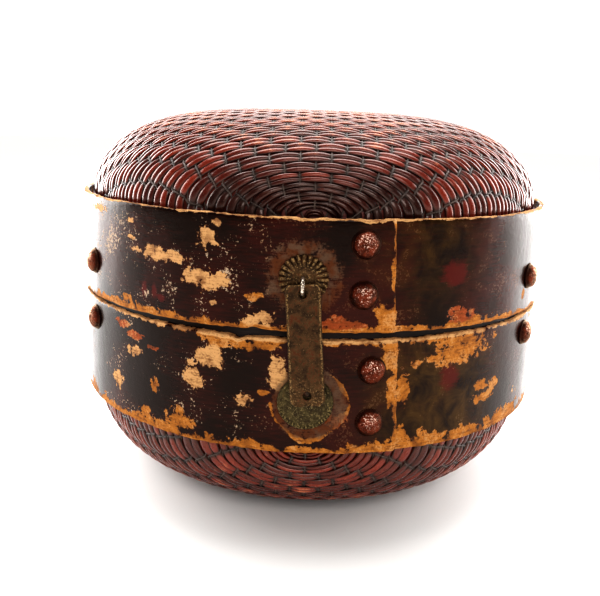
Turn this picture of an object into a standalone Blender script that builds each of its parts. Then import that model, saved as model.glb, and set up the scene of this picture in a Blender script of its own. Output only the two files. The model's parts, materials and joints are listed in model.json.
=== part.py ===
"""Round hat box with a lift-up lid: two bentwood bands, two woven domes, a strap hasp and a rear hinge.

+Z is up, the hasp faces -Y, and the origin is the middle of the flat under the base, on the ground.
Lengths are in millimetres up to the vertices, which are in metres. Azimuths are in degrees, from the
front (-Y) towards +X.
"""

import math

import bmesh
import bpy
from mathutils import Matrix, Vector

MM = 0.001
GAP = 0.3

BAND_RADIUS = 195.0
BAND_THICKNESS = 4.0
BAND_STEPS = 90
BASE_DOME_HEIGHT = 76.0
BASE_BAND_HEIGHT = 81.5
SEATING_GAP = 0.8
LID_BAND_HEIGHT = 79.0
LID_DOME_HEIGHT = 69.0
BASE_EDGE_WEAR = 0.4
LID_EDGE_WEAR = 3.2

LAP_HEIGHT = 1.6
LID_LAP_END = 16.2
BASE_LAP_END = 17.7
LAP_FULL_AZIMUTH = -18.0
LAP_START_AZIMUTH = -42.0

DOME_RIM_RADIUS = 187.0
DOME_THICKNESS = 4.0
HOOP_STEPS = 72
DOME_STEPS = 54
DOME_SKIRT = 12.0
LID_DOME_SQUARENESS = 3.4
BASE_DOME_SQUARENESS = 4.2
BASE_FLAT_RADIUS = 60.0
LID_CROWN_RADIUS = 12.0

COLLAR_RISE = 10.5
HOOP_CLEARANCE_ABOVE_COLLAR = 3.0
HOOP_SETBACK = 8.0

NAIL_HEAD_RADIUS = 9.8
NAIL_HEAD_HEIGHT = 5.0
NAIL_SHANK_RADIUS = 1.5
NAIL_HOLE_RADIUS = 1.9
NAIL_TIP_RADIUS = 185.5
LID_LAP_NAIL_AZIMUTH = 9.8
BASE_LAP_NAIL_AZIMUTH = 12.2
SIDE_NAIL_AZIMUTHS = (-58.8, 58.8, -121.2, 121.2)

HASP_WIDTH = 23.0
HASP_THICKNESS = 1.8
HASP_LENGTH = 82.5
HASP_LEAN = 4.2
HASP_HOLE_RADIUS = 2.9
HASP_LIP = 1.3
STAPLE_WIRE_RADIUS = 1.2
STAPLE_BEND_RADIUS = 5.0
STAPLE_STANDOFF = 2.8
ROSETTE_RADIUS = 16.5
ROSETTE_LOBES = 24
ROSETTE_THICKNESS = 2.2
CATCH_RADIUS = 19.0
CATCH_THICKNESS = 2.0

HINGE_WIDTH = 36.0
HINGE_LEAF_HEIGHT = 40.0
HINGE_LEAF_THICKNESS = 2.0
KNUCKLE_RADIUS = 3.2
KNUCKLE_BORE_RADIUS = 1.8
HINGE_PIN_RADIUS = 1.5
CENTRE_KNUCKLE_WIDTH = 12.0

# Heights of the four edges of the bands, from the ground up.
BASE_BAND_BOTTOM = BASE_DOME_HEIGHT
BASE_BAND_TOP = BASE_BAND_BOTTOM + BASE_BAND_HEIGHT
LID_BAND_BOTTOM = BASE_BAND_TOP + SEATING_GAP
LID_BAND_TOP = LID_BAND_BOTTOM + LID_BAND_HEIGHT
HINGE_AXIS_HEIGHT = 0.5 * (BASE_BAND_TOP + LID_BAND_BOTTOM)

BAND_INNER_RADIUS = BAND_RADIUS - BAND_THICKNESS
HOOP_INNER_RADIUS = DOME_RIM_RADIUS + GAP
PLATE_FACE = BAND_RADIUS + LAP_HEIGHT + GAP
HASP_PIVOT = Vector((-5.8, -(PLATE_FACE + ROSETTE_THICKNESS + STAPLE_STANDOFF), LID_BAND_TOP - 43.5))
ROSETTE_CENTRE = Vector((-5.4, -PLATE_FACE, HASP_PIVOT.z + 3.8))
CATCH_REACH = 74.0
CATCH_CENTRE = Vector((-1.5, -PLATE_FACE, HASP_PIVOT.z - 80.4))
HINGE_FACE = BAND_RADIUS + GAP
HINGE_AXIS_Y = HINGE_FACE + KNUCKLE_RADIUS + 0.2

# Rows of nail heights: the pair beside the lap, and the one height of the nails round the sides.
LID_LAP_NAIL_HEIGHTS = (LID_BAND_TOP - 16.3, LID_BAND_TOP - 49.7)
LID_SIDE_NAIL_HEIGHT = LID_BAND_TOP - 50.4
BASE_LAP_NAIL_HEIGHTS = (BASE_BAND_TOP - 21.5, BASE_BAND_TOP - 58.6)
BASE_SIDE_NAIL_HEIGHT = BASE_BAND_TOP - 15.3


def clear_scene():
    """Remove every object that the file opens with."""
    for obj in list(bpy.data.objects):
        bpy.data.objects.remove(obj)


def make_material(name, color, roughness, metallic):
    """Return a plain Principled material."""
    material = bpy.data.materials.new(name)
    material.use_nodes = True
    shader = material.node_tree.nodes["Principled BSDF"]
    shader.inputs["Base Color"].default_value = (*color, 1.0)
    shader.inputs["Roughness"].default_value = roughness
    shader.inputs["Metallic"].default_value = metallic
    return material


def smoothstep(low, high, value):
    """Return 0 below low, 1 above high, and a smooth rise between them."""
    t = min(max((value - low) / (high - low), 0.0), 1.0)
    return t * t * (3.0 - 2.0 * t)


def around(azimuth, radius, height):
    """Return the point at an azimuth, radius and height about the box's axis."""
    angle = math.radians(azimuth)
    return Vector((radius * math.sin(angle), -radius * math.cos(angle), height))


def make_object(name, bm, material, parent=None, smooth_angle=40.0):
    """Turn a mesh in millimetres into an object in metres, shaded smooth, with its faces out."""
    bmesh.ops.recalc_face_normals(bm, faces=bm.faces)
    bmesh.ops.scale(bm, vec=(MM, MM, MM), verts=bm.verts)
    mesh = bpy.data.meshes.new(name)
    bm.to_mesh(mesh)
    bm.free()
    mesh.shade_smooth()
    mesh.set_sharp_from_angle(angle=math.radians(smooth_angle))
    mesh.materials.append(material)
    obj = bpy.data.objects.new(name, mesh)
    bpy.context.collection.objects.link(obj)
    if parent is not None:
        hang_from(obj, parent)
    return obj


def hang_from(obj, parent):
    """Parent an object that was modelled in place, keeping it where it is."""
    obj.parent = parent
    obj.matrix_parent_inverse = Matrix.Translation(-parent.location)


def make_pivot(name, point, parent=None):
    """Return an empty on a joint's axis, at a point in millimetres."""
    empty = bpy.data.objects.new(name, None)
    empty.location = point * MM
    bpy.context.collection.objects.link(empty)
    if parent is not None:
        hang_from(empty, parent)
    return empty


def cut(obj, cutter):
    """Cut one mesh from an object with a live Boolean."""
    cutter.hide_render = True
    cutter.display_type = "WIRE"
    boolean = obj.modifiers.new("Cut", "BOOLEAN")
    boolean.operation = "DIFFERENCE"
    boolean.solver = "EXACT"
    boolean.object = cutter


def join(obj, piece):
    """Add one mesh to an object with a live Boolean union."""
    piece.hide_render = True
    piece.display_type = "WIRE"
    boolean = obj.modifiers.new("Join", "BOOLEAN")
    boolean.operation = "UNION"
    boolean.solver = "EXACT"
    boolean.object = piece


def lathe(profile, steps, closed):
    """Turn a (radius, height) profile about Z. An open profile starts and ends on the axis."""
    bm = bmesh.new()
    rings = []
    for radius, height in profile:
        if radius == 0.0:
            rings.append([bm.verts.new((0.0, 0.0, height))])
        else:
            rings.append([bm.verts.new(around(360.0 * i / steps, radius, height)) for i in range(steps)])
    pairs = list(zip(rings, rings[1:]))
    if closed:
        pairs.append((rings[-1], rings[0]))
    for lower, upper in pairs:
        for i in range(steps):
            j = (i + 1) % steps
            corners = [lower[i % len(lower)], lower[j % len(lower)], upper[j % len(upper)], upper[i % len(upper)]]
            bm.faces.new(list(dict.fromkeys(corners)))
    return bm


def cylinder(bm, start, end, radius, sides=12):
    """Add a capped cylinder between two points to a mesh."""
    direction = end - start
    turn = direction.to_track_quat("Z", "Y").to_matrix().to_4x4()
    place = Matrix.Translation((start + end) / 2.0) @ turn
    bmesh.ops.create_cone(bm, cap_ends=True, segments=sides, radius1=radius, radius2=radius,
                          depth=direction.length, matrix=place)


def radial_holes(name, places):
    """Return a cutter with one radial hole for each (azimuth, height, radius)."""
    bm = bmesh.new()
    for azimuth, height, radius in places:
        cylinder(bm, around(azimuth, 175.0, height), around(azimuth, 205.0, height), radius)
    return make_object(name, bm, MATERIALS["lacquer"])


def upright_holes(name, places):
    """Return a cutter with one hole along Y for each (x, y, height, radius)."""
    bm = bmesh.new()
    for x, y, height, radius in places:
        cylinder(bm, Vector((x, y - 20.0, height)), Vector((x, y + 20.0, height)), radius)
    return make_object(name, bm, MATERIALS["iron"])


def front_wear(azimuth):
    """Return how much of the full wear the mating edges have at an azimuth: all of it at the front."""
    return max(math.cos(math.radians(azimuth)), 0.0) ** 2


def lap_raise(azimuth, lap_end):
    """Return how far the band stands out where its outer end, at lap_end, lies over its inner end."""
    if azimuth > lap_end:
        return 0.0
    return LAP_HEIGHT * smoothstep(LAP_START_AZIMUTH, LAP_FULL_AZIMUTH, azimuth)


def band_azimuths(lap_end):
    """Return azimuths evenly round a band, from just past its lap's step to just before it."""
    near_step = 0.25
    turn = 360.0 - 2.0 * near_step
    azimuths = [lap_end + near_step + turn * i / BAND_STEPS for i in range(BAND_STEPS + 1)]
    return [azimuth - 360.0 if azimuth > 180.0 else azimuth for azimuth in azimuths]


def make_band(name, bottom_at, top_at, lap_end, material, parent=None):
    """Bend a strip into a hoop whose outer end laps over its start and stops in a step."""
    bm = bmesh.new()
    sections = []
    for azimuth in band_azimuths(lap_end):
        outer = BAND_RADIUS + lap_raise(azimuth, lap_end)
        corners = [(outer, bottom_at(azimuth)), (outer, top_at(azimuth)),
                   (BAND_INNER_RADIUS, top_at(azimuth)), (BAND_INNER_RADIUS, bottom_at(azimuth))]
        sections.append([bm.verts.new(around(azimuth, radius, height)) for radius, height in corners])
    for near, far in zip(sections, sections[1:] + sections[:1]):
        for i in range(4):
            j = (i + 1) % 4
            bm.faces.new((near[i], near[j], far[j], far[i]))
    return make_object(name, bm, material, parent)


def make_hoop(name, outer, inner, bottom, top, material, parent=None):
    """Make a plain ring of rectangular section."""
    bm = lathe([(outer, bottom), (outer, top), (inner, top), (inner, bottom)], HOOP_STEPS, closed=True)
    return make_object(name, bm, material, parent)


def dome_curve(radius, height, squareness, tip_radius, steps):
    """Return (radius, rise) points up a squarish dome, from its rim to a small flat at its tip."""
    last = math.acos((tip_radius / radius) ** (squareness / 2.0))
    points = []
    for i in range(steps + 1):
        angle = last * i / steps
        points.append((radius * math.cos(angle) ** (2.0 / squareness), height * math.sin(angle) / math.sin(last)))
    return points


def make_dome(name, rim_height, direction, height, squareness, tip_radius, material, parent=None):
    """Make a dome shell with a straight skirt inside the band. Direction is 1 for up and -1 for down."""
    outer = dome_curve(DOME_RIM_RADIUS, height, squareness, tip_radius, 9)
    inner = dome_curve(DOME_RIM_RADIUS - DOME_THICKNESS, height - DOME_THICKNESS, squareness, tip_radius, 9)
    skirt = rim_height - direction * DOME_SKIRT
    profile = [(0.0, rim_height + direction * height)]
    profile += [(radius, rim_height + direction * rise) for radius, rise in reversed(outer)]
    profile += [(DOME_RIM_RADIUS, skirt), (DOME_RIM_RADIUS - DOME_THICKNESS, skirt)]
    profile += [(radius, rim_height + direction * rise) for radius, rise in inner]
    profile += [(0.0, rim_height + direction * (height - DOME_THICKNESS))]
    return make_object(name, lathe(profile, DOME_STEPS, closed=False), material, parent)


def stud_profile(head_radius, head_height, shank_radius, shank_length):
    """Return the half outline of a domed stud: the tip of its shank first, the top of its head last."""
    profile = [(0.0, -shank_length), (shank_radius, 1.2 - shank_length), (shank_radius, 0.0),
               (head_radius, 0.0), (head_radius, 0.15 * head_height)]
    for degrees in (35.0, 60.0):
        angle = math.radians(degrees)
        profile.append((head_radius * math.cos(angle), head_height * (0.15 + 0.85 * math.sin(angle))))
    return profile + [(0.0, head_height)]


def make_stud(name, foot, outward, profile, material, parent=None):
    """Place a turned stud with the underside of its head at foot, pointing outward."""
    bm = lathe(profile, 12, closed=False)
    turn = outward.to_track_quat("Z", "Y").to_matrix().to_4x4()
    bmesh.ops.transform(bm, matrix=Matrix.Translation(foot) @ turn, verts=bm.verts)
    return make_object(name, bm, material, parent)


def nail_places(lap_azimuth, lap_heights, side_height):
    """Return (name, azimuth, height) of the six nails of one band."""
    upper, lower = lap_heights
    places = [("lap_upper", lap_azimuth, upper), ("lap_lower", lap_azimuth, lower)]
    labels = ("front_left", "front_right", "rear_left", "rear_right")
    places += [(label, azimuth, side_height) for label, azimuth in zip(labels, SIDE_NAIL_AZIMUTHS)]
    return places


def make_nails(owner, places, lap_end, parent=None):
    """Drive a domed nail through the band at each place."""
    for label, azimuth, height in places:
        seat = BAND_RADIUS + lap_raise(azimuth, lap_end) + GAP
        reach = seat - NAIL_TIP_RADIUS
        profile = stud_profile(NAIL_HEAD_RADIUS, NAIL_HEAD_HEIGHT, NAIL_SHANK_RADIUS, reach)
        make_stud(f"{owner}_nail_{label}", around(azimuth, seat, height), around(azimuth, 1.0, 0.0),
                  profile, MATERIALS["copper"], parent)


def make_base():
    """Make the lower half: band, inner collar that the lid drops over, woven bowl and nails."""
    make_band("base_band", lambda azimuth: BASE_BAND_BOTTOM,
              lambda azimuth: BASE_BAND_TOP - BASE_EDGE_WEAR * front_wear(azimuth),
              BASE_LAP_END, MATERIALS["lacquer"])
    make_hoop("base_collar", BAND_INNER_RADIUS - 0.7, HOOP_INNER_RADIUS, BASE_BAND_BOTTOM + HOOP_SETBACK,
              BASE_BAND_TOP + COLLAR_RISE, MATERIALS["bare_wood"])
    make_dome("base_dome", BASE_BAND_BOTTOM, -1.0, BASE_DOME_HEIGHT, BASE_DOME_SQUARENESS, BASE_FLAT_RADIUS,
              MATERIALS["woven_cane"])
    nails = nail_places(BASE_LAP_NAIL_AZIMUTH, BASE_LAP_NAIL_HEIGHTS, BASE_SIDE_NAIL_HEIGHT)
    make_nails("base", nails, BASE_LAP_END)
    holes = [(azimuth, height, NAIL_HOLE_RADIUS) for _, azimuth, height in nails]
    stub = strap_point(CATCH_REACH)
    front = [(stub.x, stub.y, stub.z, NAIL_HOLE_RADIUS)]
    rear = [(0.0, HINGE_FACE, height, NAIL_HOLE_RADIUS) for height in rivet_heights(-1.0)]
    for node in ("base_band", "base_collar"):
        cut(bpy.data.objects[node], radial_holes(f"{node}_holes", holes))
        cut(bpy.data.objects[node], upright_holes(f"{node}_fixings", front + rear))


def make_lid(pivot):
    """Make the upper half, which turns about the rear hinge: band, hoop, woven dome and nails."""
    make_band("lid_band", lambda azimuth: LID_BAND_BOTTOM + LID_EDGE_WEAR * front_wear(azimuth),
              lambda azimuth: LID_BAND_TOP, LID_LAP_END, MATERIALS["lacquer"], pivot)
    hoop_bottom = BASE_BAND_TOP + COLLAR_RISE + HOOP_CLEARANCE_ABOVE_COLLAR
    make_hoop("lid_hoop", BAND_INNER_RADIUS - GAP, HOOP_INNER_RADIUS, hoop_bottom, LID_BAND_TOP - HOOP_SETBACK,
              MATERIALS["bare_wood"], pivot)
    make_dome("lid_dome", LID_BAND_TOP, 1.0, LID_DOME_HEIGHT, LID_DOME_SQUARENESS, LID_CROWN_RADIUS,
              MATERIALS["woven_cane"], pivot)
    nails = nail_places(LID_LAP_NAIL_AZIMUTH, LID_LAP_NAIL_HEIGHTS, LID_SIDE_NAIL_HEIGHT)
    make_nails("lid", nails, LID_LAP_END, pivot)
    holes = [(azimuth, height, NAIL_HOLE_RADIUS) for _, azimuth, height in nails]
    rear = [(0.0, HINGE_FACE, height, NAIL_HOLE_RADIUS) for height in rivet_heights(1.0)]
    for node in ("lid_band", "lid_hoop"):
        cut(bpy.data.objects[node], radial_holes(f"{node}_holes", holes))
        cut(bpy.data.objects[node], upright_holes(f"{node}_fixings", staple_legs() + rear))


def staple_legs():
    """Return the (x, y, height, radius) holes that the staple's two legs pass through."""
    radius = STAPLE_WIRE_RADIUS + 0.4
    return [(HASP_PIVOT.x, -BAND_RADIUS, HASP_PIVOT.z + side * STAPLE_BEND_RADIUS, radius) for side in (-1.0, 1.0)]


def strap_point(reach, across=0.0):
    """Return a point of the strap's middle plane: reach below the pivot along the strap, across to +X."""
    lean = math.radians(HASP_LEAN)
    return HASP_PIVOT + Vector((reach * math.sin(lean) + across * math.cos(lean), 0.0,
                                across * math.sin(lean) - reach * math.cos(lean)))


def make_rosette(parent):
    """Make the fluted plate behind the staple, with a scalloped edge and a dished rim."""
    bm = bmesh.new()
    crown_radius = 9.5
    back = []
    edge = []
    crown = []
    for i in range(2 * ROSETTE_LOBES):
        angle = math.pi * i / ROSETTE_LOBES
        out = Vector((math.sin(angle), 0.0, math.cos(angle)))
        radius = ROSETTE_RADIUS - (0.9 if i % 2 else 0.0)
        lift = Vector((0.0, -0.5 if i % 2 else -1.0, 0.0))
        rim = ROSETTE_CENTRE + out * radius
        back.append(bm.verts.new(rim))
        edge.append(bm.verts.new(rim + lift))
        crown.append(bm.verts.new(ROSETTE_CENTRE + out * crown_radius - Vector((0.0, ROSETTE_THICKNESS, 0.0))))
    count = len(back)
    for i in range(count):
        j = (i + 1) % count
        bm.faces.new((back[i], back[j], edge[j], edge[i]))
        bm.faces.new((edge[i], edge[j], crown[j], crown[i]))
    bm.faces.new(back)
    bm.faces.new(crown)
    rosette = make_object("rosette_plate", bm, MATERIALS["bronze"], parent)
    cut(rosette, upright_holes("rosette_holes", staple_legs()))


def make_staple(parent):
    """Bend a wire into the upright staple that the strap hangs from and turns on."""
    leg_end = Vector((HASP_PIVOT.x, 2.0 - HOOP_INNER_RADIUS, HASP_PIVOT.z))
    bend = Vector((0.0, 0.0, STAPLE_BEND_RADIUS))
    points = [leg_end - bend]
    for i in range(9):
        angle = math.pi * i / 8
        points.append(HASP_PIVOT - Vector((0.0, STAPLE_BEND_RADIUS * math.sin(angle), 0.0)) - bend * math.cos(angle))
    points.append(leg_end + bend)
    curve = bpy.data.curves.new("hasp_staple", "CURVE")
    curve.dimensions = "3D"
    curve.bevel_depth = STAPLE_WIRE_RADIUS * MM
    curve.bevel_resolution = 2
    curve.use_fill_caps = True
    spline = curve.splines.new("POLY")
    spline.points.add(len(points) - 1)
    for control, point in zip(spline.points, points):
        control.co = (*(point * MM), 1.0)
    curve.materials.append(MATERIALS["iron"])
    staple = bpy.data.objects.new("hasp_staple", curve)
    bpy.context.collection.objects.link(staple)
    hang_from(staple, parent)


def make_strap(pivot):
    """Make the hasp's strap, hung so that its top hole rides on the staple."""
    half = HASP_WIDTH / 2.0
    end = HASP_LENGTH - HASP_LIP
    corners = [(2.0 - HASP_LIP, -half), (-HASP_LIP, 2.0 - half), (-HASP_LIP, half - 2.0), (2.0 - HASP_LIP, half),
               (end - 4.0, half), (end - 0.8, half - 3.0), (end, 0.0), (end - 0.8, 3.0 - half), (end - 4.0, -half)]
    places = [strap_point(reach, across) for reach, across in corners]
    outline = [(place.x, place.z) for place in places]
    plate = extruded_plate(outline, HASP_PIVOT.y - HASP_THICKNESS / 2.0, HASP_THICKNESS)
    strap = make_object("hasp_strap", plate, MATERIALS["bronze"], pivot)
    holes = [strap_point(reach) for reach in (STAPLE_BEND_RADIUS, CATCH_REACH)]
    cut(strap, upright_holes("strap_holes", [(*hole, HASP_HOLE_RADIUS) for hole in holes]))


def make_catch():
    """Make the round plate under the strap's end, and the stub of the lost catch staple that held it."""
    profile = [(0.0, 0.0), (CATCH_RADIUS, 0.0), (CATCH_RADIUS, 1.2), (CATCH_RADIUS - 1.5, CATCH_THICKNESS),
               (CATCH_RADIUS - 3.5, 1.2), (0.0, 1.2)]
    bm = lathe(profile, 36, closed=False)
    forward = Vector((0.0, -1.0, 0.0))
    turn = forward.to_track_quat("Z", "Y").to_matrix().to_4x4()
    bmesh.ops.transform(bm, matrix=Matrix.Translation(CATCH_CENTRE) @ turn, verts=bm.verts)
    plate = make_object("catch_plate", bm, MATERIALS["bronze"])
    stub = strap_point(CATCH_REACH)
    cut(plate, upright_holes("catch_hole", [(*stub, NAIL_HOLE_RADIUS)]))
    foot = Vector((stub.x, -PLATE_FACE - 1.5, stub.z))
    profile = stud_profile(2.6, 1.4, NAIL_SHANK_RADIUS, PLATE_FACE + 1.5 - NAIL_TIP_RADIUS)
    make_stud("catch_stub", foot, forward, profile, MATERIALS["iron"])


def rivet_heights(direction):
    """Return the heights of one hinge leaf's two rivets: above the joint for 1, below it for -1."""
    return [HINGE_AXIS_HEIGHT + direction * reach for reach in (14.0, 32.0)]


def comb_outline(half, near, far, spans):
    """Return the outline of a plate whose near edge has a tab, down to the axis, for each span."""
    outline = [(-half, far), (-half, near)]
    for low, high in spans:
        outline += [(low, near), (low, 0.0), (high, 0.0), (high, near)]
    outline += [(half, near), (half, far)]
    return list(dict.fromkeys(outline))


def extruded_plate(outline, face_y, thickness):
    """Return the mesh of a plate parallel to XZ: an (x, z) outline extruded from face_y along Y."""
    bm = bmesh.new()
    face = bm.faces.new([bm.verts.new((x, face_y, z)) for x, z in outline])
    grown = bmesh.ops.extrude_face_region(bm, geom=[face])["geom"]
    moved = [item for item in grown if isinstance(item, bmesh.types.BMVert)]
    bmesh.ops.translate(bm, vec=(0.0, thickness, 0.0), verts=moved)
    return bm


def hinge_leaf(name, direction, knuckle_spans, parent=None):
    """Make one leaf of the butt hinge with its knuckles. Direction is 1 for the lid's leaf."""
    half = HINGE_WIDTH / 2.0
    near = KNUCKLE_RADIUS + 0.4
    outline = [(x, HINGE_AXIS_HEIGHT + direction * reach)
               for x, reach in comb_outline(half, near, near + HINGE_LEAF_HEIGHT, knuckle_spans)]
    leaf = make_object(name, extruded_plate(outline, HINGE_FACE, HINGE_LEAF_THICKNESS), MATERIALS["iron"], parent)
    for i, (low, high) in enumerate(knuckle_spans):
        barrel = bmesh.new()
        start = Vector((low + 0.2, HINGE_AXIS_Y, HINGE_AXIS_HEIGHT))
        end = Vector((high - 0.2, HINGE_AXIS_Y, HINGE_AXIS_HEIGHT))
        cylinder(barrel, start, end, KNUCKLE_RADIUS, 20)
        join(leaf, make_object(f"{name}_knuckle_{i}", barrel, MATERIALS["iron"]))
    bore = bmesh.new()
    start = Vector((-half - 5.0, HINGE_AXIS_Y, HINGE_AXIS_HEIGHT))
    cylinder(bore, start, start + Vector((HINGE_WIDTH + 10.0, 0.0, 0.0)), KNUCKLE_BORE_RADIUS, 16)
    cut(leaf, make_object(f"{name}_bore", bore, MATERIALS["iron"]))
    holes = [(0.0, HINGE_FACE, height, NAIL_HOLE_RADIUS) for height in rivet_heights(direction)]
    cut(leaf, upright_holes(f"{name}_holes", holes))


def make_hinge(pivot):
    """Make the rear butt hinge: two leaves, the pin through their knuckles, and four rivets."""
    half = HINGE_WIDTH / 2.0
    inner = CENTRE_KNUCKLE_WIDTH / 2.0
    outer = inner + 0.4
    hinge_leaf("hinge_leaf_lid", 1.0, [(-inner, inner)], pivot)
    hinge_leaf("hinge_leaf_base", -1.0, [(-half, -outer), (outer, half)])
    pin = bmesh.new()
    start = Vector((-half - 1.0, HINGE_AXIS_Y, HINGE_AXIS_HEIGHT))
    cylinder(pin, start, start + Vector((HINGE_WIDTH + 2.0, 0.0, 0.0)), HINGE_PIN_RADIUS, 16)
    make_object("hinge_pin", pin, MATERIALS["iron"])
    face = HINGE_FACE + HINGE_LEAF_THICKNESS + GAP
    profile = stud_profile(4.2, 2.4, NAIL_SHANK_RADIUS, face - NAIL_TIP_RADIUS)
    for owner, direction, parent in (("lid", 1.0, pivot), ("base", -1.0, None)):
        for label, height in zip(("near", "far"), rivet_heights(direction)):
            make_stud(f"hinge_rivet_{owner}_{label}", Vector((0.0, face, height)), Vector((0.0, 1.0, 0.0)),
                      profile, MATERIALS["iron"], parent)


clear_scene()
MATERIALS = {
    "lacquer": make_material("lacquer", (0.035, 0.012, 0.008), 0.35, 0.0),
    "bare_wood": make_material("bare_wood", (0.24, 0.11, 0.045), 0.7, 0.0),
    "woven_cane": make_material("woven_cane", (0.16, 0.03, 0.018), 0.45, 0.0),
    "copper": make_material("copper", (0.22, 0.07, 0.04), 0.5, 0.8),
    "bronze": make_material("bronze", (0.14, 0.10, 0.06), 0.5, 0.8),
    "iron": make_material("iron", (0.10, 0.08, 0.065), 0.6, 0.8),
}
lid_turn = make_pivot("lid_pivot", Vector((0.0, HINGE_AXIS_Y, HINGE_AXIS_HEIGHT)))
hasp_turn = make_pivot("hasp_pivot", HASP_PIVOT, lid_turn)
make_base()
make_lid(lid_turn)
make_rosette(lid_turn)
make_staple(lid_turn)
make_strap(hasp_turn)
make_catch()
make_hinge(lid_turn)
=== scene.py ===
"""Hat box of lacquered bentwood and woven cane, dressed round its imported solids.

Lengths are in millimetres until a mesh is written, which is in metres. Azimuths are in degrees, from the
front (-Y) towards +X. Heights on a band are measured from its lower edge.
"""

import json
import logging
import math
from dataclasses import dataclass, field
from enum import Enum
from typing import Any, Sequence

import bpy
import numpy as np
from mathutils import Matrix, Vector, noise

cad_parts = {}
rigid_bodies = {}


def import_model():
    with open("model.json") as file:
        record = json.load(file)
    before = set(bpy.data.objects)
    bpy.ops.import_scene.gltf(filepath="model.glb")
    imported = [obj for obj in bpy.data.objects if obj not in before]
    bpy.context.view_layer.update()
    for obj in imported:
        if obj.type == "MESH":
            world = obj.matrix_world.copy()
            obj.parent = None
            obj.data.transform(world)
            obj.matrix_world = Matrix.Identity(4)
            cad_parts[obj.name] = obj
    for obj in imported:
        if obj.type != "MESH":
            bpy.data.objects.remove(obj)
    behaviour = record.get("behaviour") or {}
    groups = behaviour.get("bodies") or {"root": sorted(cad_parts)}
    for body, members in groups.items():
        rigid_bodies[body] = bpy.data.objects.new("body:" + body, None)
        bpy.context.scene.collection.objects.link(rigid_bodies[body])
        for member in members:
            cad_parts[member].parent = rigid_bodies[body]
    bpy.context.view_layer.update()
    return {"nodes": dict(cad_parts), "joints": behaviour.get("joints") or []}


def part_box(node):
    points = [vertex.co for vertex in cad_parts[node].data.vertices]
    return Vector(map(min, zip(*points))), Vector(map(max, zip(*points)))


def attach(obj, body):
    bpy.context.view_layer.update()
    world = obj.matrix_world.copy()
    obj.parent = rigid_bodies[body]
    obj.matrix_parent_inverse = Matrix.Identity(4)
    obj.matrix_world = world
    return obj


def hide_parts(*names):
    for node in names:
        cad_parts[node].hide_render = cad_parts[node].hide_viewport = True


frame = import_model()

LOG = logging.getLogger("hat_box")
MM = 0.001
PER_METRE = 1000.0
Array = np.ndarray
Color = tuple[float, float, float]


class Body(Enum):
    """The moving bodies of the box."""

    BASE = "base"
    LID = "lid"
    HASP = "hasp"


class Slot(Enum):
    """Labels for the material slot of each new piece."""

    LACQUER = "lacquer"
    WOOD = "bare_wood"
    CANE = "woven_cane"
    COPPER = "copper"
    BRONZE = "bronze"
    IRON = "iron"


# ---------------------------------------------------------------- shader maths


class Value:
    """One output of a material's nodes. Arithmetic on it adds Math nodes."""

    def __init__(self, paint: "Paint", socket: bpy.types.NodeSocket) -> None:
        """Wrap a socket of the material that paint is making."""
        self.paint = paint
        self.socket = socket

    def __add__(self, other: "Number") -> "Value":
        """Return self + other."""
        return self.paint.math("ADD", self, other)

    __radd__ = __add__

    def __sub__(self, other: "Number") -> "Value":
        """Return self - other."""
        return self.paint.math("SUBTRACT", self, other)

    def __rsub__(self, other: "Number") -> "Value":
        """Return other - self."""
        return self.paint.math("SUBTRACT", other, self)

    def __mul__(self, other: "Number") -> "Value":
        """Return self * other."""
        return self.paint.math("MULTIPLY", self, other)

    __rmul__ = __mul__


Number = Value | float


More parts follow.
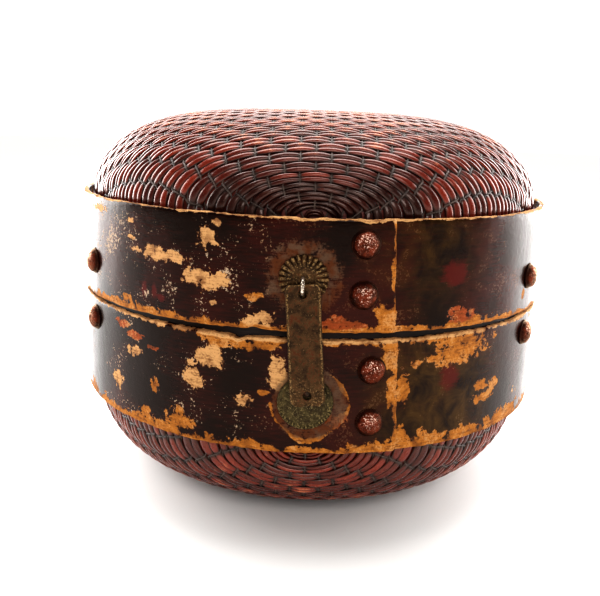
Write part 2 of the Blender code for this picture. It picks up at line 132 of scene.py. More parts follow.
class Paint:
    """Builds one material's nodes."""

    def __init__(self, name: str) -> None:
        """Start a material with nothing but its Principled shader.

        Args:
            name: the material's name.
        """
        self.material = bpy.data.materials.new(name)
        self.material.use_nodes = True
        self.tree = self.material.node_tree
        self.shader = self.tree.nodes["Principled BSDF"]

    def node(self, kind: str, settings: dict[str, Any], sockets: dict[Any, Any], output: Any = 0) -> Value:
        """Add a node.

        Args:
            kind: the node's type.
            settings: attributes of the node, which are set first.
            sockets: values or links of its inputs, by name or number.
            output: the output to return, by name or number.

        Returns:
            The chosen output.
        """
        node = self.tree.nodes.new(kind)
        for key, setting in settings.items():
            setattr(node, key, setting)
        for key, value in sockets.items():
            if isinstance(value, Value):
                self.tree.links.new(value.socket, node.inputs[key])
            elif isinstance(value, tuple) and len(value) == 3 and node.inputs[key].type == "RGBA":
                node.inputs[key].default_value = (*value, 1.0)
            else:
                node.inputs[key].default_value = value
        return Value(self, node.outputs[output])

    def math(self, operation: str, *values: Number) -> Value:
        """Return a Math node's result."""
        return self.node("ShaderNodeMath", {"operation": operation}, dict(enumerate(values)))

    def mix(self, factor: Number, low: "Tint", high: "Tint") -> Value:
        """Return low where factor is 0 and high where it is 1."""
        return self.node("ShaderNodeMix", {"data_type": "RGBA"}, {0: factor, 6: low, 7: high}, 2)

    def step(self, value: Number, low: float, high: float) -> Value:
        """Return 0 below low, 1 above high, and a smooth rise between them."""
        sockets = {"Value": value, "From Min": low, "From Max": high}
        return self.node("ShaderNodeMapRange", {"interpolation_type": "SMOOTHSTEP"}, sockets)

    def place(self) -> Value:
        """Return Object coordinates, in metres."""
        return self.node("ShaderNodeTexCoord", {}, {}, "Object")

    def number(self, name: str) -> Value:
        """Return a number stored on the mesh's points."""
        return self.node("ShaderNodeAttribute", {"attribute_name": name}, {}, "Fac")

    def vector(self, name: str) -> Value:
        """Return a vector stored on the mesh's points."""
        return self.node("ShaderNodeAttribute", {"attribute_name": name}, {}, "Vector")

    def stretch(self, vector: Value, scale: Sequence[float]) -> Value:
        """Return a vector scaled along each axis."""
        return self.node("ShaderNodeMapping", {}, {"Vector": vector, "Scale": tuple(scale)})

    def noise(self, vector: Value, size: float, detail: float = 3.0, rough: float = 0.55,
              twist: float = 0.0) -> Value:
        """Return fractal noise from 0 to 1 whose largest features are about size millimetres across.

        Args:
            vector: where the noise is read.
            size: the size of its largest features.
            detail: how many finer layers it has.
            rough: how strong the finer layers are.
            twist: how far it is distorted.

        Returns:
            The noise.
        """
        sockets = {"Vector": vector, "Scale": PER_METRE / size, "Detail": detail, "Roughness": rough,
                   "Distortion": twist}
        return self.node("ShaderNodeTexNoise", {}, sockets, 0)

    def cells(self, vector: Value, size: float) -> Value:
        """Return the smoothed distance in cells about size millimetres across."""
        sockets = {"Vector": vector, "Scale": PER_METRE / size}
        return self.node("ShaderNodeTexVoronoi", {"feature": "SMOOTH_F1"}, sockets)

    def bump(self, height: Value, depth: float, strength: float = 1.0) -> None:
        """Raise the surface by a height from 0 to 1, with depth in millimetres. Calls stack.

        Args:
            height: the height.
            depth: the height's range in millimetres.
            strength: the share of the bump that shows.
        """
        sockets: dict[Any, Any] = {"Height": height, "Distance": depth * MM, "Strength": strength}
        normal = self.shader.inputs["Normal"]
        if normal.is_linked:
            sockets["Normal"] = Value(self, normal.links[0].from_socket)
        raised = self.node("ShaderNodeBump", {}, sockets)
        self.tree.links.new(raised.socket, normal)

    def finish(self, **sockets: Any) -> bpy.types.Material:
        """Set the shader's inputs, named with underscores for spaces, and return the material.

        Args:
            sockets: each input's value or link.

        Returns:
            The material.
        """
        for key, value in sockets.items():
            socket = self.shader.inputs[key.replace("_", " ")]
            if isinstance(value, Value):
                self.tree.links.new(value.socket, socket)
            elif isinstance(value, tuple):
                socket.default_value = (*value, 1.0)
            else:
                socket.default_value = value
        return self.material


Tint = Value | Color


# ---------------------------------------------------------------- finishes


@dataclass(frozen=True)
class WornLacquer:
    """Near-black and maroon lacquer, flaked off to an ochre ground where a band is marked as worn."""

    dark: Color = (0.008, 0.0028, 0.0015)
    maroon: Color = (0.036, 0.0055, 0.003)
    olive: Color = (0.060, 0.029, 0.006)
    ochre: Color = (0.37, 0.145, 0.026)
    tan: Color = (0.50, 0.285, 0.125)
    umber: Color = (0.105, 0.032, 0.009)
    rust: Color = (0.27, 0.062, 0.018)
    painted: Color = (0.085, 0.007, 0.005)
    dust: Color = (0.115, 0.068, 0.042)
    bare: Color = (0.48, 0.36, 0.25)

    def material(self) -> bpy.types.Material:
        """Return the material. It reads the strip, worn, pale, warm, painted, grime and side attributes.

        Returns:
            The lacquer.
        """
        paint = Paint("worn_lacquer")
        place = paint.place()
        strip = paint.vector("strip")
        along = paint.stretch(strip, (0.12, 1.0, 1.0))
        broad = paint.noise(place, 60.0, 3.0)
        patchy = paint.noise(place, 15.0, 5.0, 0.62, 0.6)
        flaky = paint.noise(place, 5.0, 4.0, 0.6, 0.4)
        fine = paint.noise(place, 1.4, 2.0)
        grain = paint.noise(along, 1.7, 4.0, 0.65)
        streak = paint.noise(paint.stretch(strip, (0.05, 1.0, 1.0)), 1.1, 3.0, 0.6)

        level = paint.number("worn")
        ragged = (patchy - 0.5) * 1.9 + (flaky - 0.5) * 1.5 + (fine - 0.5) * 0.35
        shown = level + ragged * paint.step(level, -0.15, 0.5)
        worn = paint.step(shown, 0.52, 0.56)
        rim = paint.step(shown, 0.43, 0.52)
        dots = paint.noise(place, 1.9, 3.0, 0.7) + (patchy - 0.5) * 0.7 + (broad - 0.5) * 0.5
        specks = paint.step(dots, 0.655, 0.69) * paint.number("side")
        chips = paint.math("MAXIMUM", worn, specks * 0.8)

        lacquer = paint.mix(paint.step(broad + (grain - 0.5) * 0.5, 0.38, 0.68), self.dark, self.maroon)
        lacquer = paint.mix(paint.number("olive") * paint.step(patchy, 0.3, 0.7), lacquer, self.olive)
        red = paint.step(paint.number("painted") + (flaky - 0.5) * 0.6 + (grain - 0.5) * 0.5, 0.36, 0.72)
        lacquer = paint.mix(red * 0.8, lacquer, self.painted)
        scuffs = paint.step(streak + (patchy - 0.5) * 0.3, 0.66, 0.78)
        lacquer = paint.mix(scuffs * 0.30, lacquer, self.dust)
        lacquer = paint.mix((rim - worn) * 0.55, lacquer, self.umber)

        # pale turns the worn ground tan: real tan patches, and along each band's top edge a painted rim
        # highlight.
        pale = paint.step(paint.number("pale") + (patchy - 0.5) * 1.2, 0.3, 0.7)
        warm = paint.step(paint.number("warm") + (flaky - 0.5) * 1.2, 0.3, 0.7)
        ground = paint.mix(warm, paint.mix(pale, self.ochre, self.tan), self.rust)
        ground = paint.mix(paint.step(flaky * 0.5 + grain * 0.5, 0.52, 0.38) * 0.75, ground, self.umber)
        ground = paint.mix(paint.step(fine * 0.45 + streak * 0.55, 0.50, 0.38) * 0.55, ground, self.umber)
        ground = paint.mix(paint.step(patchy, 0.54, 0.38) * 0.65, ground, self.umber)
        ground = paint.mix(paint.step(patchy + (fine - 0.5) * 0.5, 0.56, 0.68) * 0.5, ground, self.tan)
        ground = paint.mix(specks * (1.0 - worn), ground, self.bare)

        color = paint.mix(chips, lacquer, ground)
        grime = paint.number("grime")
        scoured = grime + (flaky - 0.5) * 1.6 + (streak - 0.5) * 0.9 + (fine - 0.5) * 0.8
        dirt = paint.step(scoured, 0.45, 1.0)
        soil = paint.mix(paint.step(patchy, 0.42, 0.6), self.umber, self.dust)
        color = paint.mix(dirt * 0.8, color, soil)

        paint.bump(1.0 - worn, 0.35)
        paint.bump(grain, 0.12, 0.6)
        paint.bump(flaky, 0.35, 0.5)
        paint.bump(fine, 0.06, 0.7)
        rough = 0.20 + chips * 0.52 + dirt * 0.3 + scuffs * 0.25 + (patchy - 0.5) * 0.35
        return paint.finish(Base_Color=color, Roughness=rough, Specular_IOR_Level=0.13,
                            Specular_Tint=(1.0, 0.86, 0.78))


@dataclass(frozen=True)
class GlossyCane:
    """Split cane under old red-brown lacquer, rubbed to orange-tan where the strands stand highest, with
    painted shade in the gaps between the strands.
    """

    # Near-black: the painted shade in the gaps of the weave, and the darkening near the rim.
    deep: Color = (0.010, 0.0022, 0.0014)
    mahogany: Color = (0.052, 0.0055, 0.003)
    russet: Color = (0.170, 0.020, 0.008)
    rubbed: Color = (0.48, 0.17, 0.075)
    dust: Color = (0.30, 0.22, 0.17)

    def material(self) -> bpy.types.Material:
        """Return the material. It reads the lie, crown, tone, rub and soot attributes.

        Returns:
            The cane.
        """
        paint = Paint("glossy_cane")
        place = paint.place()
        lie = paint.vector("lie")
        fibre = paint.noise(paint.stretch(lie, (0.07, 1.0, 1.0)), 0.8, 3.0, 0.6)
        patchy = paint.noise(place, 26.0, 4.0, 0.6)
        spots = paint.noise(place, 3.0, 3.0, 0.65)
        tone = paint.number("tone")
        crown = paint.number("crown")
        color = paint.mix(paint.step(tone * 0.6 + patchy * 0.4, 0.25, 0.75), self.mahogany, self.russet)
        # Painted shade: a strand's sides and the places where it dives under a warp are darkened to
        # near-black, for the shade in the gaps of the weave.
        color = paint.mix(paint.step(crown + (spots - 0.5) * 0.4, 0.56, 0.12) * 0.95, color, self.deep)
        rubbed = paint.step(crown * 0.52 + paint.number("rub") * 0.4 + (fibre - 0.5) * 0.55
                            + (spots - 0.5) * 0.55 + (patchy - 0.5) * 0.7 + tone * 0.12, 0.66, 0.92)
        color = paint.mix(rubbed * 0.8, color, self.rubbed)
        # Darkened towards the rim of each dome, most at the front of the lid, down to near-black.
        dark_near_rim = paint.number("dark_near_rim")
        color = paint.mix(paint.step(dark_near_rim + (spots - 0.5) * 0.6, 0.3, 0.8) * 0.85, color, self.deep)
        dusty = paint.step(paint.number("dusty") + (spots - 0.5) * 0.7, 0.35, 0.85)
        color = paint.mix(dusty * 0.55, color, self.dust)
        paint.bump(fibre, 0.12, 0.7)
        paint.bump(spots, 0.18, 0.5)
        rough = 0.25 + rubbed * 0.15 + dusty * 0.3 + (spots - 0.5) * 0.35 + (1.0 - crown) * 0.2
        return paint.finish(Base_Color=color, Roughness=rough, Coat_Weight=(1.0 - dusty) * 0.25,
                            Coat_Roughness=0.14, Specular_IOR_Level=0.42, Specular_Tint=(1.0, 0.74, 0.62))


@dataclass(frozen=True)
class AgedWood:
    """Plain wood darkened by handling, with its grain along the attribute strip or round the box. The
    collar's copy is made near-black as painted shade.
    """

    name: str
    light: Color
    dark: Color
    roughness: float = 0.62
    gloss: float = 0.0

    def material(self) -> bpy.types.Material:
        """Return the material.

        Returns:
            The wood.
        """
        paint = Paint(self.name)
        place = paint.place()
        strip = paint.stretch(paint.vector("strip"), (0.06, 1.0, 1.0))
        grain = paint.noise(strip, 1.6, 5.0, 0.65)
        pores = paint.noise(strip, 0.6, 2.0)
        patchy = paint.noise(place, 34.0, 4.0, 0.6)
        spots = paint.noise(place, 4.0, 3.0, 0.65)
        color = paint.mix(paint.step(grain * 0.55 + patchy * 0.45, 0.32, 0.66), self.dark, self.light)
        color = paint.mix(paint.step(spots, 0.58, 0.72) * 0.5, color, self.dark)
        paint.bump(grain, 0.18, 0.8)
        paint.bump(pores, 0.06, 0.6)
        rough = self.roughness + (patchy - 0.5) * 0.3 - (grain - 0.5) * 0.2
        return paint.finish(Base_Color=color, Roughness=rough, Coat_Weight=self.gloss, Coat_Roughness=0.3)


@dataclass(frozen=True)
class OldMetal:
    """Beaten metal with tarnish in the hollows, rubbed bright on its high spots and rusted in patches."""

    name: str
    body: Color
    bright: Color
    tarnish: Color
    crust: Color
    pit: float = 1.6
    pit_depth: float = 0.25
    crusted: float = 0.5
    metallic: float = 0.75
    roughness: float = 0.42
    on_solid: bool = False

    def material(self) -> bpy.types.Material:
        """Return the material. It reads an attribute that is 1 on high spots and 0 in hollows; on the nails
        it also holds a painted highlight on their upper part and painted shade on their lower part.

        A solid that is carried over from the frame has no such attribute, so its high spots are mottled.

        Returns:
            The metal.
        """
        paint = Paint(self.name)
        place = paint.place()
        beaten = paint.cells(place, self.pit * 2.2)
        pits = paint.noise(place, self.pit, 3.0, 0.65)
        patchy = paint.noise(place, 6.0, 5.0, 0.68, 0.4)
        fine = paint.noise(place, 0.7, 2.0)
        proud_and_highlight = paint.noise(place, 6.0, 2.0) * 0.6 + 0.06 if self.on_solid else paint.number("proud_and_highlight")
        color = paint.mix(paint.step(patchy, 0.35, 0.65), self.tarnish, self.body)
        # Rubbed bright on the high spots; on the nails this also paints the highlight on their upper part.
        rub = paint.step(proud_and_highlight * 0.6 + (pits - 0.5) * 2.6 + (fine - 0.5) * 1.2, 0.50, 0.78)
        color = paint.mix(rub * 0.85, color, self.bright)
        crust = paint.step(patchy * 0.5 + pits * 0.5 - proud_and_highlight * 0.12, 0.66 - 0.22 * self.crusted,
                           0.74 - 0.22 * self.crusted)
        color = paint.mix(crust * 0.85, color, self.crust)
        # Tarnish darkens the hollows; on the nails this also paints shade on their lower part.
        color = paint.mix(paint.step(proud_and_highlight, 0.22, 0.0) * 0.8, color, tuple(0.3 * c for c in self.tarnish))
        paint.bump(beaten, self.pit_depth, 0.6)
        paint.bump(pits, self.pit_depth, 0.8)
        paint.bump(fine, 0.05, 0.7)
        metallic = self.metallic * (1.0 - crust * 0.85)
        rough = self.roughness + crust * 0.35 - rub * 0.12 + (fine - 0.5) * 0.25
        return paint.finish(Base_Color=color, Roughness=rough, Metallic=metallic, Specular_IOR_Level=0.3,
                            Specular_Tint=(1.0, 0.78, 0.56))


# The bright colour shows on rubbed high spots, and on the nails also as a painted highlight on their upper
# part.
COPPER = OldMetal("hammered_copper", (0.14, 0.026, 0.011), (0.88, 0.58, 0.46), (0.034, 0.0065, 0.0035),
                  (0.075, 0.018, 0.008), crusted=0.45, pit=1.0, pit_depth=0.7, metallic=0.6, roughness=0.32)
BRONZE = OldMetal("aged_bronze", (0.072, 0.038, 0.015), (0.24, 0.15, 0.065), (0.016, 0.007, 0.003),
                  (0.070, 0.015, 0.005), crusted=0.85, pit=1.3, pit_depth=0.4, metallic=0.3)
CATCH_BRONZE = OldMetal("greenish_bronze", (0.060, 0.046, 0.018), (0.20, 0.15, 0.065),
                        (0.015, 0.010, 0.005), (0.050, 0.020, 0.007), crusted=0.6, pit=1.4,
                        pit_depth=0.4, metallic=0.3)
IRON = OldMetal("rusted_iron", (0.052, 0.036, 0.026), (0.26, 0.21, 0.17), (0.022, 0.013, 0.009),
                (0.085, 0.026, 0.010), crusted=0.8, pit=1.5, pit_depth=0.35, metallic=0.45, on_solid=True)
WIRE = OldMetal("bright_wire", (0.30, 0.24, 0.19), (0.80, 0.72, 0.62), (0.11, 0.075, 0.05),
                (0.16, 0.07, 0.03), crusted=0.2, pit=1.0, pit_depth=0.12, roughness=0.3)
BARE_WOOD = AgedWood("bare_wood", (0.13, 0.052, 0.022), (0.035, 0.013, 0.007))
LINING = AgedWood("lining_lacquer", (0.16, 0.028, 0.016), (0.055, 0.011, 0.008), 0.42, 0.25)
# Painted shade: the collar shows in the gap between lid and base, so its wood is made near-black, far darker
# than the other bare wood.
SHADED_COLLAR_WOOD = AgedWood("collar_wood_painted_shade", (0.026, 0.010, 0.005), (0.008, 0.003, 0.002), 0.7)
WARP_CANE = AgedWood("warp_cane", (0.085, 0.052, 0.038), (0.014, 0.006, 0.004), 0.55)


@dataclass(frozen=True)
class PaleFloor:
    """A matt white studio floor."""

    color: Color = (0.80, 0.79, 0.775)

    def material(self) -> bpy.types.Material:
        """Return the material.

        Returns:
            The floor's material.
        """
        paint = Paint("pale_floor")
        cloud = paint.noise(paint.place(), 400.0, 2.0)
        color = paint.mix(cloud, self.color, tuple(0.98 * c for c in self.color))
        return paint.finish(Base_Color=color, Roughness=0.75)


# ---------------------------------------------------------------- mesh tools


def around(azimuth: float, radius: float, height: float) -> Vector:
    """Return the point in millimetres at an azimuth, radius and height about the box's axis."""
    angle = math.radians(azimuth)
    return Vector((radius * math.sin(angle), -radius * math.cos(angle), height))


def take(obj: bpy.types.Object) -> None:
    """Leave edit mode, and make obj the only selected object and the active one.

    Args:
        obj: the object.
    """
    if bpy.context.object is not None and bpy.context.object.mode != "OBJECT":
        bpy.ops.object.mode_set(mode="OBJECT")
    for other in bpy.data.objects:
        other.select_set(False)
    obj.select_set(True)
    bpy.context.view_layer.objects.active = obj


def edit_all(obj: bpy.types.Object) -> None:
    """Open obj in edit mode with all of it selected.

    Args:
        obj: the object.
    """
    take(obj)
    bpy.ops.object.mode_set(mode="EDIT")
    bpy.ops.mesh.select_all(action="SELECT")


def close_edit(outward: bool = True) -> None:
    """Merge doubles, turn the faces outward and go back to object mode.

    Args:
        outward: False turns the faces inward.
    """
    bpy.ops.mesh.select_all(action="SELECT")
    bpy.ops.mesh.remove_doubles(threshold=1e-6)
    bpy.ops.mesh.normals_make_consistent(inside=not outward)
    bpy.ops.object.mode_set(mode="OBJECT")


def from_points(name: str, points: Array, faces: Sequence[Sequence[int]],
                edges: Sequence[Sequence[int]] = ()) -> bpy.types.Object:
    """Return an object of points in millimetres, with its faces or edges.

    Args:
        name: the object's name.
        points: its points.
        faces: its faces, by point number.
        edges: its loose edges, by point number.

    Returns:
        The object.
    """
    mesh = bpy.data.meshes.new(name)
    mesh.from_pydata((np.asarray(points, float) * MM).tolist(), list(edges), list(faces))
    mesh.update()
    obj = bpy.data.objects.new(name, mesh)
    bpy.context.scene.collection.objects.link(obj)
    return obj


def spun(name: str, outline: Sequence[tuple[float, float]], steps: int,
         closed: bool = False) -> bpy.types.Object:
    """Turn a chain of (radius, height) points about Z.

    Args:
        name: the object's name.
        outline: the chain, in millimetres. An open chain starts and ends on the axis.
        steps: the number of steps round the turn.
        closed: True joins the chain's end to its start.

    Returns:
        The turned object, with its faces outward.
    """
    count = len(outline)
    edges = [(i, i + 1) for i in range(count - 1)] + ([(count - 1, 0)] if closed else [])
    obj = from_points(name, np.array([(0.0, -r, z) for r, z in outline]), [], edges)
    edit_all(obj)
    bpy.ops.mesh.spin(steps=steps, angle=math.tau, center=(0.0, 0.0, 0.0), axis=(0.0, 0.0, 1.0))
    close_edit()
    return obj


def points_of(obj: bpy.types.Object) -> Array:
    """Return a mesh's points in millimetres.

    Args:
        obj: the object.

    Returns:
        The points, one to a row.
    """
    flat = np.empty(len(obj.data.vertices) * 3)
    obj.data.vertices.foreach_get("co", flat)
    return flat.reshape(-1, 3) / MM


def move_points(obj: bpy.types.Object, points: Array) -> None:
    """Give a mesh new points, in millimetres."""
    obj.data.vertices.foreach_set("co", (points * MM).ravel())
    obj.data.update()


def store(obj: bpy.types.Object, name: str, values: Array) -> None:
    """Store a number or a vector for each point of a mesh.

    Args:
        obj: the object.
        name: the attribute's name.
        values: one number or one vector for each point.
    """
    kind, key = ("FLOAT", "value") if values.ndim == 1 else ("FLOAT_VECTOR", "vector")
    attribute = obj.data.attributes.new(name, kind, "POINT")
    attribute.data.foreach_set(key, values.astype(np.float32).ravel())


def smooth_shade(obj: bpy.types.Object, degrees: float = 35.0) -> None:
    """Shade a mesh smooth, with its sharp edges kept."""
    obj.data.shade_smooth()
    obj.data.set_sharp_from_angle(angle=math.radians(degrees))


def apply_modifier(obj: bpy.types.Object, kind: str, **settings: Any) -> None:
    """Add a modifier and apply it at once.

    Args:
        obj: the object.
        kind: the modifier's type.
        settings: its settings by name.
    """
    take(obj)
    modifier = obj.modifiers.new(kind.title(), kind)
    for key, setting in settings.items():
        setattr(modifier, key, setting)
    bpy.ops.object.modifier_apply(modifier=modifier.name)


def drill(obj: bpy.types.Object, x: float, z: float, y: float, radius: float) -> None:
    """Cut a round hole along Y through a mesh at (x, z), near y, all in millimetres.

    Args:
        obj: the object.
        x: the hole's place along X.
        z: the hole's height.
        y: the middle of the cut along Y.
        radius: the hole's radius.
    """
    take(obj)
    bpy.ops.mesh.primitive_cylinder_add(vertices=32, radius=radius * MM, depth=20.0 * MM,
                                        location=(x * MM, y * MM, z * MM),
                                        rotation=(math.pi / 2.0, 0.0, 0.0))
    cutter = bpy.context.object
    apply_modifier(obj, "BOOLEAN", operation="DIFFERENCE", solver="EXACT", object=cutter)
    bpy.data.objects.remove(cutter)


def wander(values: Array, spacing: float, seed: int) -> Array:
    """Return a smooth random number from -1 to 1 for each value, which changes over about spacing.

    Args:
        values: places along a line.
        spacing: the distance over which the number changes.
        seed: the seed of the random numbers.

    Returns:
        The numbers.
    """
    knots = np.random.default_rng(seed).uniform(-1.0, 1.0, 4096)
    scaled = values / spacing + 2048.0
    index = np.floor(scaled).astype(int)
    t = scaled - index
    t = t * t * (3.0 - 2.0 * t)
    return knots[index % 4096] * (1.0 - t) + knots[(index + 1) % 4096] * t


def lumps(points: Array, size: float, seed: float) -> Array:
    """Return smooth noise from about -1 to 1 at each point, with features about size millimetres across."""
    shift = Vector((seed * 7.3, seed * 3.1, seed * 5.7))
    return np.array([noise.noise(Vector(p) / size + shift) for p in points.tolist()])


def ramp(values: Array, low: float, high: float) -> Array:
    """Return 0 below low, 1 above high and a smooth rise between them."""
    t = np.clip((values - low) / (high - low), 0.0, 1.0)
    return t * t * (3.0 - 2.0 * t)


def tube_faces(start: int, count: int, sides: int) -> list[list[int]]:
    """Return the faces of a closed tube of rings.

    Args:
        start: the number of the tube's first point.
        count: the number of its rings.
        sides: the number of points in each ring.

    Returns:
        Its quads and then its two ends.
    """
    first = start + np.arange(count - 1)[:, None] * sides
    here, after = np.arange(sides), (np.arange(sides) + 1) % sides
    quads = np.stack([first + here, first + after, first + sides + after, first + sides + here], axis=-1)
    last = start + (count - 1) * sides
    ends = [list(range(start, start + sides))[::-1], list(range(last, last + sides))]
    return quads.reshape(-1, 4).tolist() + ends


def join_piece(obj: bpy.types.Object, body: Body, slot: Slot, material: bpy.types.Material,
               *nodes: str) -> bpy.types.Object:
    """Give a finished piece its material and body, and hide the nodes that it stands for.

    Args:
        obj: the piece.
        body: the body that it rides on.
        slot: not used.
        material: its finish.
        nodes: the CAD nodes that it stands for.

    Returns:
        The piece.
    """
    obj.data.materials.clear()
    obj.data.materials.append(material)
    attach(obj, body.value)
    if nodes:
        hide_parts(*nodes)
    return obj


# ---------------------------------------------------------------- bands


@dataclass(frozen=True)
class Mark:
    """One worn or painted spot on a band: its place, its size and how strongly it shows."""

    azimuth: float
    height: float
    width: float
    tall: float
    strength: float = 1.0


def marked(azimuth: Array, height: Array, radius: float, marks: Sequence[Mark]) -> Array:
    """Return how deep each point is in any mark: 1 in the middle, a half on its edge, 0 well outside.

    Args:
        azimuth: each point's azimuth.
        height: each point's height on the band.
        radius: the band's radius.
        marks: the marks.

    Returns:
        The depth at each point.
    """
    level = np.zeros_like(azimuth)
    for mark in marks:
        across = (azimuth - mark.azimuth + 180.0) % 360.0 - 180.0
        across = np.radians(across) * radius / (0.5 * mark.width)
        up = (height - mark.height) / (0.5 * mark.tall)
        reach = np.hypot(across, up)
        level = np.maximum(level, mark.strength * np.clip(1.0 - 0.5 * reach, 0.0, 1.0))
    return level


@dataclass(frozen=True)
class Halo:
    """The soiled round patch about a fitting on a band."""

    azimuth: float
    height: float
    radius: float
    blur: float


@dataclass(frozen=True)
class BandMarks:
    """All that is marked on one band. Edge wear is (azimuth, depth) pairs, and a notch is one such pair."""

    ochre: Sequence[Mark]
    tan: Sequence[Mark]
    rust: Sequence[Mark]
    painted: Sequence[Mark]
    olive: Sequence[Mark]
    foot_wear: Sequence[tuple[float, float]]
    top_wear: Sequence[tuple[float, float]]
    halo: Halo
    stained: float
    notch: tuple[float, float]


@dataclass
class Band:
    """One bentwood band: a strip whose outer end laps over its start and stops in a step."""

    node: str
    body: Body
    lap_end: float
    marks: BandMarks
    seed: int
    mating_edge: float
    radius: float = 195.0
    thickness: float = 4.0
    lap_height: float = 1.6
    lap_full: float = -18.0
    lap_start: float = -42.0
    columns: int = 860
    rise: float = 1.45
    round_over: float = 0.9
    slit: float = 0.06
    notch_width: float = 1.3

    def outline(self, bottom: float, top: float) -> list[tuple[float, float]]:
        """Return the section of the strip: a fine outer face, rounded edges and a coarse inner face.

        Args:
            bottom: the height of the lower edge.
            top: the height of the upper edge.

        Returns:
            The section as (radius, height) points.
        """
        outer, inner, ease = self.radius, self.radius - self.thickness, self.round_over
        rows = int((top - bottom - 2.0 * ease) / self.rise)
        points = [(outer, bottom + ease + (top - bottom - 2.0 * ease) * i / rows) for i in range(rows + 1)]
        points += [(outer - 0.3 * ease, top - 0.3 * ease), (outer - ease, top)]
        points += [(inner + 0.6 * ease, top), (inner, top - 0.6 * ease)]
        points += [(inner, top + (bottom - top) * i / 5) for i in range(1, 5)]
        points += [(inner, bottom + 0.6 * ease), (inner + 0.6 * ease, bottom)]
        points += [(outer - ease, bottom), (outer - 0.3 * ease, bottom + 0.3 * ease)]
        return points

    def build(self) -> bpy.types.Object:
        """Return the band with its lap, its chipped edges and its wear stored on it.

        Returns:
            The band.
        """
        low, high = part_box(self.node)
        bottom, top = low.z / MM, high.z / MM
        name = self.node.replace("_band", "_bentwood")
        obj = spun(name, self.outline(bottom, top), self.columns, closed=True)
        points = points_of(obj)
        azimuth = np.degrees(np.arctan2(points[:, 0], -points[:, 1]))
        radius = np.hypot(points[:, 0], points[:, 1])
        height = points[:, 2] - bottom
        tall = top - bottom
        outside = ramp(radius, self.radius - self.thickness + 0.5, self.radius - 0.9)

        past = (azimuth - self.lap_end + 1e-4) % 360.0
        pitch = 360.0 / self.columns
        past = 0.5 * self.slit + past * (360.0 - self.slit) / (360.0 - pitch)
        ragged = 0.14 * wander(height, 5.0, self.seed) + 0.10 * wander(height, 1.7, self.seed + 1)
        ragged -= 0.45 * (height / tall - 0.5) * 2.0
        near_end = np.exp(-np.minimum(past, 360.0 - past) / 1.2)
        azimuth = (self.lap_end + past + ragged * near_end + 180.0) % 360.0 - 180.0
        before = 360.0 - past
        lap = self.lap_height * ramp(azimuth, self.lap_start, self.lap_full) * (past > 180.0)
        worn_end = 0.5 * np.exp(-before / 0.35) * (past > 180.0)
        radius = radius + outside * (lap - worn_end)
        radius += outside * 0.22 * wander(azimuth, 7.0, self.seed + 2)
        radius -= outside * 0.25 * np.exp(-np.minimum(height, tall - height) / 2.0)

        at_foot, at_top = ramp(height, 12.0, 0.0), ramp(height, tall - 12.0, tall)
        front = np.maximum(np.cos(np.radians(azimuth)), 0.0) ** 2
        chips = 0.35 * wander(azimuth, 1.1, self.seed + 3) + 0.45 * wander(azimuth, 4.0, self.seed + 4)
        chips = np.clip(0.25 + chips, 0.0, None)
        mate = self.mating_edge * front
        lift = mate * at_foot if self.body is Body.LID else -mate * at_top
        raised = points[:, 2] + lift + chips * at_foot - chips * at_top
        notch_at, notch_deep = self.marks.notch
        notch = notch_deep * np.exp(-((azimuth - notch_at) / self.notch_width) ** 2)
        raised += notch * at_foot if self.body is Body.LID else -notch * at_top

        angle = np.radians(azimuth)
        move_points(obj, np.column_stack([radius * np.sin(angle), -radius * np.cos(angle), raised]))
        self.store_wear(obj, azimuth, height, tall, past, outside)
        smooth_shade(obj, 30.0)
        return obj

    def store_wear(self, obj: bpy.types.Object, azimuth: Array, height: Array, tall: float, past: Array,
                   outside: Array) -> None:
        """Store where the lacquer is worn, pale, warm, painted, grimy and speckled.

        Args:
            obj: the band.
            azimuth: each point's azimuth.
            height: each point's height on the band.
            tall: the band's height.
            past: degrees past the lap's end, from 0 to 360.
            outside: 1 on the outer face and 0 inside.
        """
        marks = self.marks
        rng = np.random.default_rng(self.seed + 50)
        stray = [Mark(rng.uniform(52.0, 306.0), rng.uniform(8.0, tall - 8.0), rng.uniform(4.0, 30.0),
                      rng.uniform(3.0, 12.0), rng.uniform(0.55, 0.95)) for _ in range(26)]
        ochre = marked(azimuth, height, self.radius, [*marks.ochre, *stray[::2]])
        tan = marked(azimuth, height, self.radius, [*marks.tan, *stray[1::2]])
        rust = marked(azimuth, height, self.radius, marks.rust)
        foot = np.interp(azimuth, *zip(*marks.foot_wear)) * (1.0 + 0.4 * wander(azimuth, 3.0, self.seed + 7))
        top = np.interp(azimuth, *zip(*marks.top_wear)) * (1.0 + 0.4 * wander(azimuth, 3.0, self.seed + 8))
        foot_edge = 1.0 - 0.5 * height / np.maximum(foot, 0.4)
        top_edge = 1.0 - 0.5 * (tall - height) / np.maximum(top, 0.4)
        before = (360.0 - past) * np.radians(1.0) * self.radius
        seam = 1.0 - 0.5 * before / (2.2 + 1.2 * wander(height, 9.0, self.seed + 9))
        halo = marks.halo
        across, rise = np.radians(azimuth - halo.azimuth) * self.radius, height - halo.height
        reach = np.hypot(across, rise)
        turn = np.degrees(np.arctan2(rise, across))
        open_part = ramp(np.abs(turn - 120.0), 45.0, 75.0)
        wobble = 1.6 * wander(turn, 26.0, self.seed + 12)
        spread = 1.2 + 0.9 * wander(turn, 17.0, self.seed + 13)
        outline = 1.0 - 0.5 * np.abs(reach - halo.radius - wobble) / spread
        stain = np.clip(outline, 0.0, 1.0) * open_part * marks.stained
        worn = np.maximum.reduce([ochre, tan, rust, foot_edge, top_edge, seam, stain])
        store(obj, "worn", np.where(outside > 0.3, np.clip(worn, 0.0, 1.0), 0.42))
